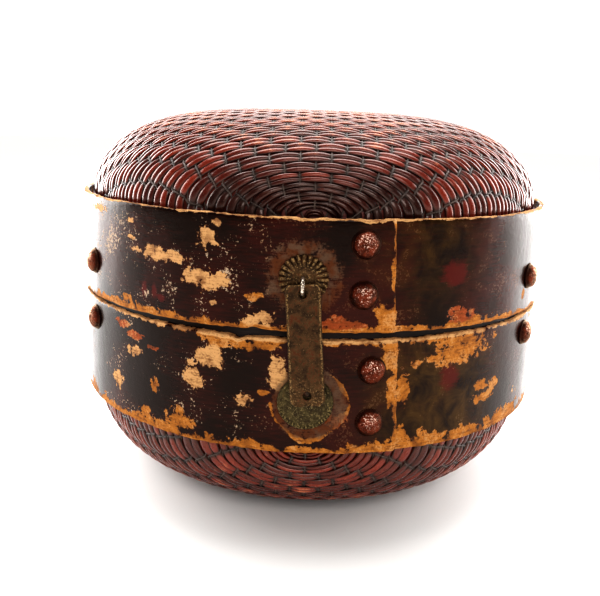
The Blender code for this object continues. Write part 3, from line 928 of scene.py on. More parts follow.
        # A thin pale line along the top edge: partly the worn edge, partly a painted highlight where light
        # catches the rounded rim.
        rim = 0.85 * ramp(height, tall - 4.0, tall - 1.5)
        store(obj, "pale", np.clip(np.maximum(tan * 1.6, rim), 0.0, 1.0))
        store(obj, "warm", np.clip(rust * 1.7, 0.0, 1.0))
        store(obj, "painted", marked(azimuth, height, self.radius, marks.painted))
        store(obj, "olive", np.clip(marked(azimuth, height, self.radius, marks.olive) * 2.0, 0.0, 1.0))
        near_edge = np.exp(-np.minimum(height, tall - height) / 3.0) * 0.5
        grime = 0.9 * ramp(reach, halo.radius + halo.blur, halo.radius - 0.4 * halo.blur) + near_edge
        store(obj, "grime", np.clip(grime, 0.0, 1.0) * outside)
        store(obj, "side", 0.14 + 0.86 * ramp(azimuth, 0.0, -18.0) * ramp(azimuth, -75.0, -48.0))
        strip = np.column_stack([np.radians(azimuth) * self.radius, height, np.zeros_like(height)]) * MM
        store(obj, "strip", strip)

    def dress(self, obj: bpy.types.Object, lacquer: bpy.types.Material) -> bpy.types.Object:
        """Give the band its lacquer and let it stand for its solid."""
        return join_piece(obj, self.body, Slot.LACQUER, lacquer, self.node)


LID_MARKS = BandMarks(
    ochre=[Mark(-43, 10, 12, 7), Mark(14.3, 16, 13, 19), Mark(-11, 26, 11, 5), Mark(-2, 5, 30, 8),
           Mark(21, 4, 31, 4), Mark(35, 6, 50, 7)],
    tan=[Mark(-32, 46, 43, 8), Mark(-34, 50, 15, 7), Mark(-21, 62, 16, 12), Mark(-22.5, 34, 34, 13),
         Mark(-19.5, 19, 7, 4), Mark(-41, 67, 9, 3.5), Mark(-41, 55, 7, 3), Mark(-18.5, 73, 7, 7),
         Mark(-9, 11, 26, 12, 0.9)],
    rust=[Mark(6, 10, 28, 10), Mark(32, 12, 21, 11, 0.9)],
    painted=[Mark(-37, 20, 6, 12), Mark(-34, 20.5, 5, 11), Mark(-32, 16, 8, 6), Mark(30, 41, 23, 18)],
    olive=[Mark(24, 60, 60, 60, 0.4)],
    foot_wear=[(-180, 3), (-60, 4), (-45, 7), (-22, 7), (-5, 6), (5, 9), (14, 9), (18, 3), (30, 5),
               (45, 5), (60, 3), (180, 3)],
    top_wear=[(-180, 0.6), (-50, 0.7), (-10, 0.9), (14, 1.6), (20, 0.7), (180, 0.6)],
    halo=Halo(-1.5, 40.0, 24.0, 9.0),
    stained=0.0,
    notch=(-11.0, 1.6),
)
BASE_MARKS = BandMarks(
    ochre=[Mark(-19, 75, 15, 8), Mark(-10, 75, 34, 8), Mark(-8.5, 42, 8, 5), Mark(-34, 32, 8, 12),
           Mark(-37, 12, 13, 7), Mark(-27.5, 12, 22, 16), Mark(16, 73, 11, 20), Mark(16.6, 44, 6, 26),
           Mark(19.6, 44, 9, 26), Mark(19.4, 12, 12, 13), Mark(33, 68, 47, 18), Mark(35, 75, 59, 8),
           Mark(22, 62, 9, 5), Mark(26, 65, 8, 6), Mark(40, 38, 19, 8), Mark(41, 28, 22, 8),
           Mark(45, 36, 8, 8)],
    tan=[Mark(-40, 54, 19, 8), Mark(-20, 62, 17, 14), Mark(-23.5, 47, 15, 18), Mark(-12.5, 36, 14, 9),
         Mark(-47, 25, 14, 14), Mark(-6, 58, 11, 24, 0.9)],
    rust=[Mark(-45, 72, 14, 6), Mark(-40, 66, 18, 5), Mark(-35, 61, 14, 4), Mark(2, 24, 32, 12, 0.8)],
    painted=[Mark(30.5, 50, 17, 22)],
    olive=[Mark(28, 40, 70, 90, 0.9)],
    foot_wear=[(-180, 4), (-61, 8), (-45, 7), (-37, 7), (-17, 8), (-4, 5), (12, 6), (26, 9), (47, 9),
               (66, 10), (180, 4)],
    top_wear=[(-180, 1.5), (-50, 1.5), (-25, 3), (-5, 4), (12, 3), (25, 4), (45, 3), (60, 1.5), (180, 1.5)],
    halo=Halo(0.5, 36.0, 25.0, 5.0),
    stained=1.0,
    notch=(-14.0, 1.9),
)


# ---------------------------------------------------------------- woven domes


STRAND_SECTION = np.array([(-1.0, -0.05), (-0.78, 0.62), (-0.3, 0.96), (0.3, 0.96), (0.78, 0.62),
                           (1.0, -0.05), (0.55, -0.8), (-0.55, -0.8)])
WARP_SECTION = np.array([(-1.0, 0.0), (-0.5, 0.8), (0.5, 0.8), (1.0, 0.0), (0.0, -0.8)])


@dataclass
class WovenDome:
    """A dome of paired cane strands that run along X over and under hidden warps."""

    node: str
    body: Body
    rim_height: float
    direction: float
    height: float
    squareness: float
    flat_radius: float
    seed: int
    radius: float = 187.0
    inset: float = 2.0
    row_pitch: float = 7.8
    rim_pitch: float = 4.6
    brick: float = 20.6
    steps_per_brick: int = 10
    skirt: float = 8.0
    strand_half_height: float = 1.25
    sway: float = 0.85
    strand_offset: float = 0.236
    strand_share: float = 0.455
    warp_half_width: float = 0.62
    warp_half_height: float = 0.6
    tick_reach: float = 0.42
    tick_lift: float = 0.42
    tick_end_lift: float = 0.1
    hidden_lift: float = -1.4
    lining_depth: float = 1.7
    lining_wall: float = 1.5
    flange: float = 4.5
    _rows: list[float] = field(default_factory=list)

    def rise_of(self, angle: Array) -> tuple[Array, Array]:
        """Return (radius, rise) up the weave's middle surface, from the rim at angle 0.

        Args:
            angle: how far up the section, in radians.

        Returns:
            The radii and the rises.
        """
        rim, tall = self.radius - self.inset, self.height - self.inset
        last = math.acos((self.flat_radius / self.radius) ** (self.squareness / 2.0))
        radius = rim * np.maximum(np.cos(angle), 0.0) ** (2.0 / self.squareness)
        return radius, tall * np.minimum(np.sin(angle) / math.sin(last), 1.0)

    def rows(self) -> list[float]:
        """Return the rows' places along Y, close together where the dome turns down.

        Returns:
            The rows' places, from the front to the back.
        """
        if self._rows:
            return self._rows
        radius, rise = self.rise_of(np.linspace(0.0, 0.5 * math.pi, 4000))
        arc = np.concatenate([[0.0], np.cumsum(np.hypot(np.diff(radius), np.diff(rise)))])
        reach, places = 2.2, []
        y = float(np.interp(reach, arc, radius))
        for _ in range(80):
            places.append(y)
            reach += self.rim_pitch + (9.8 - self.rim_pitch) * min(reach / 42.0, 1.0)
            y = max(float(np.interp(reach, arc, radius)), y - self.row_pitch)
            reach = float(np.interp(-y, -radius, arc))
            if y < 0.25 * self.row_pitch:
                break
        calm = 150.0
        fit = (calm - 0.5 * self.row_pitch) / (calm - places[-1])
        places = [y if y > calm else calm - (calm - y) * fit for y in places]
        self._rows = [-place for place in places] + places[::-1]
        return self._rows

    def half_row(self, y: float, spacing: float) -> tuple[Array, Array, Array]:
        """Return points, outward normals and arc lengths along one row, from its middle to its end on +X.

        Args:
            y: the row's place along Y.
            spacing: the distance between its points.

        Returns:
            The points, the normals and the arc lengths.
        """
        rim = self.radius - self.inset
        start = math.acos((abs(y) / rim) ** (self.squareness / 2.0))
        angle = np.linspace(start, 0.0, 700)
        radius, rise = self.rise_of(angle)
        x = np.sqrt(np.maximum(radius ** 2 - y * y, 0.0))
        x[0] = 0.0
        up = np.append(self.direction * rise, -self.direction * self.skirt) + self.rim_height
        x = np.append(x, x[-1])
        arc = np.concatenate([[0.0], np.cumsum(np.hypot(np.diff(x), np.diff(up)))])
        count = int(arc[-1] / spacing)
        along = spacing * np.arange(count + 1)
        at = np.column_stack([np.interp(along, arc, x), np.full(count + 1, y), np.interp(along, arc, up)])
        return at, self.normals(at), along

    def normals(self, at: Array) -> Array:
        """Return the dome's outward normals at points on its middle surface.

        Args:
            at: the points.

        Returns:
            Unit normals, one to a row.
        """
        rim, tall = self.radius - self.inset, self.height - self.inset
        radius = np.hypot(at[:, 0], at[:, 1])
        rise = np.clip((at[:, 2] - self.rim_height) * self.direction, 0.0, None)
        out = self.squareness / rim * np.clip(radius / rim, 0.0, 1.0) ** (self.squareness - 1.0)
        up = self.direction * 2.0 / tall * rise / tall
        flat = (radius < self.flat_radius) & (self.flat_radius > 30.0)
        out = np.where(flat, 0.0, out)
        safe = np.maximum(radius, 1e-6)
        normal = np.column_stack([out * at[:, 0] / safe, out * at[:, 1] / safe, up])
        return normal / np.linalg.norm(normal, axis=1, keepdims=True)

    def whole_row(self, index: int, spacing: float) -> tuple[Array, Array, Array, Array]:
        """Return points, normals, cross directions and signed arc lengths from end to end of a row.

        Args:
            index: the row's number.
            spacing: the distance between its points.

        Returns:
            The points, the normals, the cross directions and the arc lengths.
        """
        at, normal, along = self.half_row(self.rows()[index], spacing)
        flip = np.array([-1.0, 1.0, 1.0])
        at = np.vstack([at[:0:-1] * flip, at])
        normal = np.vstack([normal[:0:-1] * flip, normal])
        along = np.concatenate([-along[:0:-1], along])
        tangent = np.gradient(at, axis=0)
        tangent /= np.linalg.norm(tangent, axis=1, keepdims=True)
        cross = np.cross(normal, tangent)
        cross *= np.sign(cross[:, 1:2] + 1e-9)
        return at, normal, cross / np.linalg.norm(cross, axis=1, keepdims=True), along

    def local_pitch(self, index: int, cross: Array) -> Array:
        """Return the distance between rows across each point of a row.

        Args:
            index: the row's number.
            cross: the cross direction at each point.

        Returns:
            The distance at each point.
        """
        rows = self.rows()
        before, after = rows[max(index - 1, 0)], rows[min(index + 1, len(rows) - 1)]
        spans = 2 if 0 < index < len(rows) - 1 else 1
        return np.clip((after - before) / spans / np.maximum(cross[:, 1], 0.12), 3.6, 15.0)

    def strands(self, name: str, rows: Sequence[int]) -> bpy.types.Object:
        """Sweep the two strands of each row over and under the warps.

        Args:
            name: the piece's name.
            rows: the numbers of the rows in it.

        Returns:
            The piece.
        """
        section = STRAND_SECTION
        sides = len(section)
        points, faces = [], []
        keys = ("crown", "tone", "lie", "dark_near_rim", "rub", "dusty")
        stores: dict[str, list[Array]] = {key: [] for key in keys}
        start = 0
        for index in rows:
            at, normal, cross, along = self.whole_row(index, self.brick / self.steps_per_brick)
            pitch = self.local_pitch(index, cross)
            phase = along / self.brick + (0.5 if index % 2 else 0.0)
            swell = np.abs(np.cos(math.pi * phase))
            arch = swell ** 0.75
            brick = np.floor(phase + 0.5).astype(int)
            for side in (-1.0, 1.0):
                rng = np.random.default_rng(self.seed * 1000 + index * 2 + (side > 0))
                per_brick = rng.uniform(-1.0, 1.0, 64)[(brick + 32) % 64]
                tone = 0.5 + 0.28 * rng.uniform(-1.0, 1.0) + 0.22 * per_brick
                drift = 0.35 * wander(along, 14.0, self.seed + index * 5 + int(side > 0))
                offset = side * pitch * self.strand_offset * (0.90 + 0.10 * arch) + 0.4 * drift
                wide = 0.5 * pitch * self.strand_share * (0.86 + 0.14 * arch) * (1.0 + 0.05 * per_brick)
                lift = self.sway * (2.0 * arch - 1.0) * 0.5 + 0.10 * per_brick * arch - 0.25 * (1.0 - arch)
                thick = np.minimum(self.strand_half_height * (0.72 + 0.28 * arch), 0.62 * wide + 0.2)
                centre = at + cross * offset[:, None] + normal * lift[:, None]
                ring = (centre[:, None, :] + cross[:, None, :] * (wide[:, None] * section[:, 0])[:, :, None]
                        + normal[:, None, :] * (thick[:, None] * section[:, 1])[:, :, None])
                count = len(at)
                points.append(ring.reshape(-1, 3))
                faces += tube_faces(start, count, sides)
                start += count * sides
                # crown is 1 on a strand's top where it arches up and 0 on its sides and where it dives under
                # a warp; the cane rubs the high spots with it and paints shade into the gaps with it.
                top = np.clip((section[:, 1] + 0.1) / 1.0, 0.0, 1.0)
                stores["crown"].append((arch[:, None] * top).ravel())
                stores["tone"].append(np.repeat(np.clip(tone, 0.0, 1.0), sides))
                lie = np.stack([np.repeat(along[:, None], sides, 1),
                                wide[:, None] * section[:, 0] + 9.0 * index + 4.0 * side,
                                np.zeros((count, sides))], axis=-1)
                stores["lie"].append(lie.reshape(-1, 3) * MM)
                for key, level in self.weathering(at).items():
                    stores[key].append(np.repeat(level, sides))
        obj = from_points(name, np.concatenate(points), faces)
        for key, parts in stores.items():
            store(obj, key, np.concatenate(parts))
        edit_all(obj)
        close_edit()
        smooth_shade(obj, 60.0)
        return obj

    def weathering(self, at: Array) -> dict[str, Array]:
        """Return how much the weave is darkened near the rim, and how rubbed and dusty it is, at each point.

        Args:
            at: the points.

        Returns:
            The levels by attribute name.
        """
        radius = np.hypot(at[:, 0], at[:, 1])
        rise = (at[:, 2] - self.rim_height) * self.direction
        front = ramp(-at[:, 1] / np.maximum(radius, 1.0), 0.86, 0.97)
        low = ramp(rise, 36.0, 8.0)
        # Darker towards the rim: on the lid mostly at its front, on the base all round.
        if self.body is Body.LID:
            return {"dark_near_rim": low * (0.08 + 0.92 * front), "rub": ramp(rise, 22.0, 56.0) * 0.55,
                    "dusty": low * 0.1}
        return {"dark_near_rim": low * 0.3, "rub": ramp(rise, 8.0, 45.0) * 0.45,
                "dusty": ramp(rise, 22.0, 2.0) * 0.3}

    def warps(self, name: str) -> bpy.types.Object:
        """Make the thin warps, which show as ticks where a pair of strands dives under them.

        Args:
            name: the piece's name.

        Returns:
            The piece.
        """
        section = WARP_SECTION
        sides = len(section)
        half_brick = 0.5 * self.brick
        rows = [self.whole_row(index, half_brick) for index in range(len(self.rows()))]
        reach = max((len(row[0]) - 1) // 2 for row in rows)
        points, faces, places = [], [], []
        start = 0
        for step in range(-reach, reach + 1):
            line = []
            for index, (at, normal, cross, _) in enumerate(rows):
                middle = (len(at) - 1) // 2
                if abs(step) > middle:
                    continue
                pitch = float(self.local_pitch(index, cross)[middle + step])
                shown = (step + index) % 2 != 0
                here = middle + step
                for shift in ((-self.tick_reach, 0.0, self.tick_reach) if shown else (0.0,)):
                    risen = self.tick_lift if shift == 0.0 else self.tick_end_lift
                    lift = risen if shown else self.hidden_lift
                    line.append((at[here] + cross[here] * shift * pitch + normal[here] * lift, normal[here]))
            if len(line) < 3:
                continue
            centre = np.array([item[0] for item in line])
            normal = np.array([item[1] for item in line])
            along = np.gradient(centre, axis=0)
            along /= np.linalg.norm(along, axis=1, keepdims=True)
            cross = np.cross(along, normal)
            cross /= np.linalg.norm(cross, axis=1, keepdims=True)
            count = len(line)
            wide, thick = self.warp_half_width * section[:, 0], self.warp_half_height * section[:, 1]
            ring = (centre[:, None, :] + cross[:, None, :] * wide[None, :, None]
                    + normal[:, None, :] * thick[None, :, None])
            points.append(ring.reshape(-1, 3))
            faces += tube_faces(start, count, sides)
            start += count * sides
            grain = np.column_stack([centre[:, 1], centre[:, 0], centre[:, 2]])
            places.append(grain.repeat(sides, axis=0) * MM)
        obj = from_points(name, np.concatenate(points), faces)
        store(obj, "strip", np.concatenate(places))
        edit_all(obj)
        close_edit()
        smooth_shade(obj, 60.0)
        return obj

    def lining(self, name: str) -> bpy.types.Object:
        """Turn the lacquered skin under the weave, with the weave showing through as faint ribs inside.

        Args:
            name: the piece's name.

        Returns:
            The piece.
        """
        angle = np.linspace(0.0, math.pi / 2.0, 40)
        radius, rise = self.rise_of(angle)
        depth, wall = self.lining_depth, self.lining_wall
        scale = 1.0 - depth / self.radius
        outer = [(radius[0] * scale, self.rim_height - self.direction * self.skirt)]
        for r, z, a in zip(radius.tolist(), rise.tolist(), angle.tolist()):
            outer.append((r * scale, self.rim_height + self.direction * (z - depth * math.sin(a))))
        turns = [min(i / 36.0, 1.0) * math.pi / 2.0 for i in range(len(outer))]
        inner = [(max(r - wall * math.cos(turn), 0.0), z - self.direction * wall * math.sin(turn))
                 for turn, (r, z) in zip(turns, outer)]
        outer[-1], inner[-1] = (0.0, outer[-1][1]), (0.0, inner[-1][1])
        foot, lip = outer[0][1], outer[0][1] + self.direction * wall
        wide = self.radius + self.flange
        flange = [(outer[0][0], lip), (wide, lip), (wide, foot)]
        obj = spun(name, [*reversed(outer[1:]), *flange, *inner], 144)
        points = points_of(obj)
        ribs = np.cos(math.tau * points[:, 1] / self.row_pitch)
        ribs = ribs * np.cos(math.tau * points[:, 0] / self.brick)
        inside = np.array([v.normal.z for v in obj.data.vertices]) * self.direction < -0.3
        points[:, 2] += ribs * inside * 0.35
        move_points(obj, points)
        store(obj, "strip", points * MM)
        smooth_shade(obj, 50.0)
        return obj

    def build(self) -> dict[str, bpy.types.Object]:
        """Return the dome's pieces by name.

        Returns:
            The front strands, back strands, warps and lining.
        """
        count = len(self.rows())
        half = count // 2
        return {
            "front": self.strands(f"{self.body.value}_weave_front", range(0, half)),
            "back": self.strands(f"{self.body.value}_weave_back", range(half, count)),
            "warps": self.warps(f"{self.body.value}_warps"),
            "lining": self.lining(f"{self.body.value}_lining"),
        }

    def dress(self, pieces: dict[str, bpy.types.Object], cane: bpy.types.Material, warp: bpy.types.Material,
              lining: bpy.types.Material) -> list[bpy.types.Object]:
        """Give the dome's pieces their finishes and let them stand for its solid.

        Args:
            pieces: the dome's pieces by name.
            cane: the strands' finish.
            warp: the warps' finish.
            lining: the lining's finish.

        Returns:
            The pieces.
        """
        return [join_piece(pieces["front"], self.body, Slot.CANE, cane, self.node),
                join_piece(pieces["back"], self.body, Slot.CANE, cane, self.node),
                join_piece(pieces["warps"], self.body, Slot.CANE, warp, self.node),
                join_piece(pieces["lining"], self.body, Slot.CANE, lining, self.node)]


# ---------------------------------------------------------------- hoops and nails


@dataclass
class Hoop:
    """A plain bentwood ring inside a band, with eased edges."""

    node: str
    body: Body
    wall: float
    ease: float = 0.8

    def build(self) -> bpy.types.Object:
        """Turn the ring between its solid's edges.

        Returns:
            The ring.
        """
        low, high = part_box(self.node)
        outer, bottom, top = high.x / MM, low.z / MM, high.z / MM
        inner, ease = outer - self.wall, self.ease
        outline = [(outer, bottom + ease), (outer, top - ease), (outer - 0.3 * ease, top - 0.3 * ease),
                   (outer - ease, top), (inner + ease, top), (inner + 0.3 * ease, top - 0.3 * ease),
                   (inner, top - ease), (inner, bottom + ease), (inner + ease, bottom),
                   (outer - ease, bottom)]
        obj = spun(self.node + "_ring", outline, 240, closed=True)
        points = points_of(obj)
        azimuth = np.degrees(np.arctan2(points[:, 0], -points[:, 1]))
        upward = self.body is Body.BASE
        rim, below = (top, top - 3.0) if upward else (bottom, bottom + 3.0)
        edge = ramp(points[:, 2], below, rim)
        points[:, 2] -= (1.0 if upward else -1.0) * edge * np.abs(wander(azimuth, 3.0, 77)) * 0.5
        move_points(obj, points)
        reach = np.hypot(points[:, 0], points[:, 1])
        strip = np.column_stack([np.radians(azimuth) * outer, points[:, 2], reach])
        store(obj, "strip", strip * MM)
        smooth_shade(obj)
        return obj

    def dress(self, obj: bpy.types.Object, wood: bpy.types.Material) -> bpy.types.Object:
        """Give the ring its wood and let it stand for its solid."""
        return join_piece(obj, self.body, Slot.WOOD, wood, self.node)


@dataclass
class NailRing:
    """The domed copper nails of one band: one is modelled, and each nail is its own beaten copy."""

    owner: str
    body: Body
    labels: tuple[str, ...] = ("lap_upper", "lap_lower", "front_left", "front_right", "rear_left",
                               "rear_right")
    head_radius: float = 9.8
    head_height: float = 6.0
    lip: float = 0.7

    def head(self) -> bpy.types.Object:
        """Turn one nail head about Z, its underside at the origin, with a thin lip and a full dome.

        Returns:
            The pattern that every nail is copied from.
        """
        outline = [(0.0, -0.6), (self.head_radius - 0.6, -0.6), (self.head_radius - 0.1, 0.0),
                   (self.head_radius, 0.35), (self.head_radius - 0.35, self.lip)]
        crown = self.head_radius - 1.0
        for i in range(13):
            angle = math.pi / 2.0 * (i + 0.6) / 13.0
            rise = (self.head_height - self.lip) * math.sin(angle)
            outline.append((crown * math.cos(angle), self.lip + rise))
        outline.append((0.0, self.head_height))
        return spun("nail_pattern", outline, 64)

    def build(self) -> list[bpy.types.Object]:
        """Return the nails, each turned to face outward, dented and worn in its own way, with a painted
        highlight on its upper part.

        Returns:
            The nails, in the order of their labels.
        """
        pattern = self.head()
        nails = []
        for count, label in enumerate(self.labels):
            node = f"{self.owner}_nail_{label}"
            low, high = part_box(node)
            nail = bpy.data.objects.new(f"{self.owner}_rivet_{label}", pattern.data.copy())
            bpy.context.scene.collection.objects.link(nail)
            seed = count * 3.7 + (20.0 if self.body is Body.LID else 1.0)
            points = points_of(nail)
            dents = 0.55 * lumps(points, 5.5, seed) + 0.28 * lumps(points, 2.6, seed + 1.0)
            reach = np.hypot(points[:, 0], points[:, 1])
            top = ramp(points[:, 2], 0.1, 2.5)
            points[:, 2] += dents * top
            points[:, :2] *= (1.0 + 0.02 * dents * ramp(reach, 4.0, 9.0))[:, None]
            proud_and_highlight = ramp(points[:, 2], 1.0, self.head_height) * (0.75 + 0.6 * dents)
            middle = (low + high) / 2.0
            azimuth = math.degrees(math.atan2(middle.x, -middle.y))
            outward = around(azimuth, 1.0, 0.0)
            seat = around(azimuth, self.seat_radius(azimuth), middle.z / MM)
            turn = outward.to_track_quat("Z", "Y").to_matrix().to_4x4() @ Matrix.Rotation(seed, 4, "Z")
            move_points(nail, points)
            nail.data.transform(Matrix.Translation(seat * MM) @ turn)
            # Painted highlight and shade: the upper part of each nail is made brighter and its lower part
            # darker, as light from above would fall on it. This goes into the same attribute as the real
            # high spots.
            above = ramp(points_of(nail)[:, 2] - seat.z, -5.0, 8.0)
            store(nail, "proud_and_highlight", np.clip(proud_and_highlight * (0.45 + 0.75 * above), 0.0, 1.0))
            smooth_shade(nail, 60.0)
            nails.append(nail)
        bpy.data.objects.remove(pattern)
        return nails

    def seat_radius(self, azimuth: float) -> float:
        """Return the radius at which a nail's head lies on the band."""
        lap = 1.6 * float(ramp(np.array([azimuth]), -42.0, -18.0)[0]) if azimuth < 16.0 else 0.0
        return 195.0 + lap + 0.3

    def dress(self, nails: list[bpy.types.Object], copper: bpy.types.Material) -> list[bpy.types.Object]:
        """Give the nails their copper and let each stand for its solid."""
        return [join_piece(nail, self.body, Slot.COPPER, copper, f"{self.owner}_nail_{label}")
                for nail, label in zip(nails, self.labels)]


# ---------------------------------------------------------------- hasp


@dataclass
class Hasp:
    """The fluted rosette, the wire staple, the swinging strap and the round catch plate."""

    flutes: int = 24
    rosette_radius: float = 16.5
    rosette_dish: float = 2.2
    wire_radius: float = 1.2
    bend_radius: float = 5.0
    strap_width: float = 23.0
    strap_thickness: float = 1.8
    strap_length: float = 82.5
    strap_lip: float = 1.3
    strap_lean: float = 4.2
    hole_radius: float = 2.9
    lower_hole: float = 74.0
    catch_radius: float = 19.0
    beads: int = 46
    wire_root: float = -186.0

    def pivot(self) -> Vector:
        """Return the hasp's axis point in millimetres."""
        joint = next(j for j in frame["joints"] if j["name"] == "hasp_swing")
        return Vector(joint["pos_m"]) / MM

    def facing(self, node: str) -> Vector:
        """Return the middle of the back of a plate that faces the front, in millimetres."""
        low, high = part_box(node)
        return Vector(((low.x + high.x) / 2.0, high.y, (low.z + high.z) / 2.0)) / MM

    def stand_up(self, obj: bpy.types.Object, centre: Vector) -> None:
        """Turn a piece that was made facing +Z to face the front, with its back's middle at centre."""
        obj.data.transform(Matrix.Translation(centre * MM) @ Matrix.Rotation(math.pi / 2.0, 4, "X"))

    def rosette(self) -> bpy.types.Object:
        """Turn a dished plate and press its flutes and scalloped edge into it.

        Returns:
            The plate.
        """
        r = self.rosette_radius
        outline = [(0.0, 0.0), (r - 0.4, 0.0), (r, 0.3), (r - 0.15, 0.8), (r - 0.9, 1.15)]
        outline += [(r - 0.9 - 0.8 * i, 1.15 + 0.09 * i) for i in range(1, 9)]
        outline += [(7.6, 1.75), (7.0, 1.5), (6.4, 1.7), (5.6, 2.2), (4.0, 2.5), (2.0, 2.6), (0.0, 2.6)]
        obj = spun("rosette_fluted", outline, self.flutes * 10)
        points = points_of(obj)
        reach = np.hypot(points[:, 0], points[:, 1])
        angle = np.arctan2(points[:, 1], points[:, 0])
        flute = np.abs(np.cos(0.5 * self.flutes * angle)) ** 0.8
        zone = ramp(reach, 7.4, 9.5) * (points[:, 2] > 0.2)
        points[:, 2] += zone * (flute - 0.75) * 1.1 * ramp(reach, 7.0, 14.0)
        points[:, :2] *= (1.0 - 0.055 * (1.0 - flute) * ramp(reach, 12.0, 16.0))[:, None]
        points[:, 2] += 0.18 * lumps(points, 5.0, 3.0) * (points[:, 2] > 0.2)
        move_points(obj, points)
        proud_and_highlight = np.where(zone > 0.1, flute, 0.7) * ramp(points[:, 2], 0.2, 1.4)
        store(obj, "proud_and_highlight", proud_and_highlight * (1.0 - 0.6 * ramp(np.abs(reach - 7.0), 0.9, 0.0)))
        self.stand_up(obj, self.facing("rosette_plate"))
        smooth_shade(obj, 50.0)
        return obj

    def staple(self) -> bpy.types.Object:
        """Bend the wire over the strap's top edge and back through its hole.

        Returns:
            The staple.
        """
        pivot = self.pivot()
        bend = self.bend_radius
        places = [Vector((pivot.x, self.wire_root, pivot.z - bend))]
        for i in range(19):
            angle = math.pi * i / 18
            places.append(pivot + Vector((0.0, -bend * math.sin(angle), -bend * math.cos(angle))))
        places.append(Vector((pivot.x, self.wire_root, pivot.z + bend)))
        curve = bpy.data.curves.new("staple_wire", "CURVE")
        curve.dimensions = "3D"
        curve.bevel_depth = self.wire_radius * MM
        curve.bevel_resolution = 5
        curve.use_fill_caps = True
        spline = curve.splines.new("POLY")
        spline.points.add(len(places) - 1)
        for control, place in zip(spline.points, places):
            control.co = (*(place * MM), 1.0)
            control.radius = 1.0
        obj = bpy.data.objects.new("staple_wire", curve)
        bpy.context.scene.collection.objects.link(obj)
        take(obj)
        bpy.ops.object.convert(target="MESH")
        edit_all(obj)
        close_edit()
        points = points_of(obj)
        points += (0.10 * lumps(points, 3.0, 8.0))[:, None] * np.array([1.0, 0.0, 0.4])
        move_points(obj, points)
        store(obj, "proud_and_highlight", ramp(-points[:, 1], 198.0, 205.0))
        smooth_shade(obj, 60.0)
        return obj

    def strap(self) -> bpy.types.Object:
        """Forge the strap: thin raised edges, cut corners, a slight wave, and two punched holes.

        Returns:
            The strap.
        """
        pivot = self.pivot()
        width, length = self.strap_width, self.strap_length
        take(next(iter(frame["nodes"].values())))
        bpy.ops.mesh.primitive_grid_add(x_subdivisions=34, y_subdivisions=110, size=1.0)
        obj = bpy.context.object
        obj.name = "strap_forged"
        points = points_of(obj) * MM * np.array([width, length, 1.0])
        points[:, 1] = 0.5 * length - points[:, 1] - self.strap_lip
        move_points(obj, points)
        apply_modifier(obj, "SOLIDIFY", thickness=self.strap_thickness * MM, offset=0.0)
        points = points_of(obj)
        across, reach, depth = points[:, 0].copy(), points[:, 1].copy(), points[:, 2].copy()
        end = length - self.strap_lip
        from_top, from_end = reach + self.strap_lip, end - reach
        narrow = 2.0 * np.clip(1.0 - from_top / 2.0, 0.0, 1.0)
        narrow = narrow + 3.4 * np.clip(1.0 - from_end / 4.0, 0.0, 1.0) ** 2
        across *= 1.0 - narrow / (0.5 * width)
        across *= 1.0 + 0.012 * wander(reach, 14.0, 5)
        edge = 0.5 * width - narrow - np.abs(across)
        front = depth > 0.0
        raised = 0.45 * ramp(edge, 2.0, 1.3) * ramp(edge, -0.1, 0.5) - 0.25 * ramp(edge, 0.35, 0.0)
        raised += 0.30 * ramp(from_top, 1.6, 0.6) - 0.2 * ramp(from_end, 0.6, 0.0)
        cells = np.column_stack([across, reach, np.zeros_like(across)])
        beaten = 0.16 * lumps(cells, 7.0, 4.0) + 0.07 * lumps(cells, 2.5, 9.0)
        hollow = 0.25 * ramp(np.hypot(across, reach - self.lower_hole), 6.0, 3.0)
        depth = depth + np.where(front, raised * 0.8 + beaten - hollow, 0.0)
        ridges = np.clip(raised * 1.6 + 0.35 + 1.2 * beaten, 0.0, 1.0)
        low_part = ramp(reach, 58.0, 70.0)
        store(obj, "proud_and_highlight", np.where(front, np.clip(ridges + 0.25 * low_part, 0.0, 1.0), 0.2))
        lean = math.radians(self.strap_lean)
        x = pivot.x + reach * math.sin(lean) + across * math.cos(lean)
        z = pivot.z - reach * math.cos(lean) + across * math.sin(lean)
        move_points(obj, np.column_stack([x, pivot.y - depth, z]))
        edit_all(obj)
        close_edit()
        for place in (self.bend_radius, self.lower_hole):
            hole_x, hole_z = pivot.x + place * math.sin(lean), pivot.z - place * math.cos(lean)
            drill(obj, hole_x, hole_z, pivot.y, self.hole_radius)
        smooth_shade(obj, 45.0)
        return obj

    def catch(self) -> bpy.types.Object:
        """Turn the round catch plate, with a beaded roll along the lower part of its edge.

        Returns:
            The plate.
        """
        r = self.catch_radius
        outline = [(0.0, 0.0), (r - 0.3, 0.0), (r, 0.4), (r - 0.1, 1.1), (r - 0.7, 1.75), (r - 1.5, 2.0),
                   (r - 2.3, 1.8), (r - 3.0, 1.3), (r - 3.8, 1.15), (r - 6.0, 1.25), (r - 9.0, 1.3),
                   (5.0, 1.35), (0.0, 1.35)]
        obj = spun("catch_disc", outline, self.beads * 8)
        points = points_of(obj)
        reach = np.hypot(points[:, 0], points[:, 1])
        angle = np.arctan2(points[:, 1], points[:, 0])
        bead = np.abs(np.cos(0.5 * self.beads * angle)) ** 0.7
        zone = np.exp(-((reach - (r - 1.5)) / 1.2) ** 2) * (points[:, 2] > 0.3)
        lower = ramp(-np.sin(angle), -0.3, 0.4)
        points[:, 2] += zone * (bead - 0.8) * 0.9 * lower
        points[:, :2] *= (1.0 - 0.02 * (1.0 - bead) * ramp(reach, r - 1.5, r))[:, None]
        dents = 0.25 * lumps(points, 9.0, 6.0) + 0.12 * lumps(points, 3.0, 2.0)
        points[:, 2] += dents * (points[:, 2] > 0.3)
        move_points(obj, points)
        store(obj, "proud_and_highlight", np.clip(0.45 + zone * (bead - 0.2) * lower, 0.0, 1.0))
        self.stand_up(obj, self.facing("catch_plate"))
        smooth_shade(obj, 50.0)
        return obj

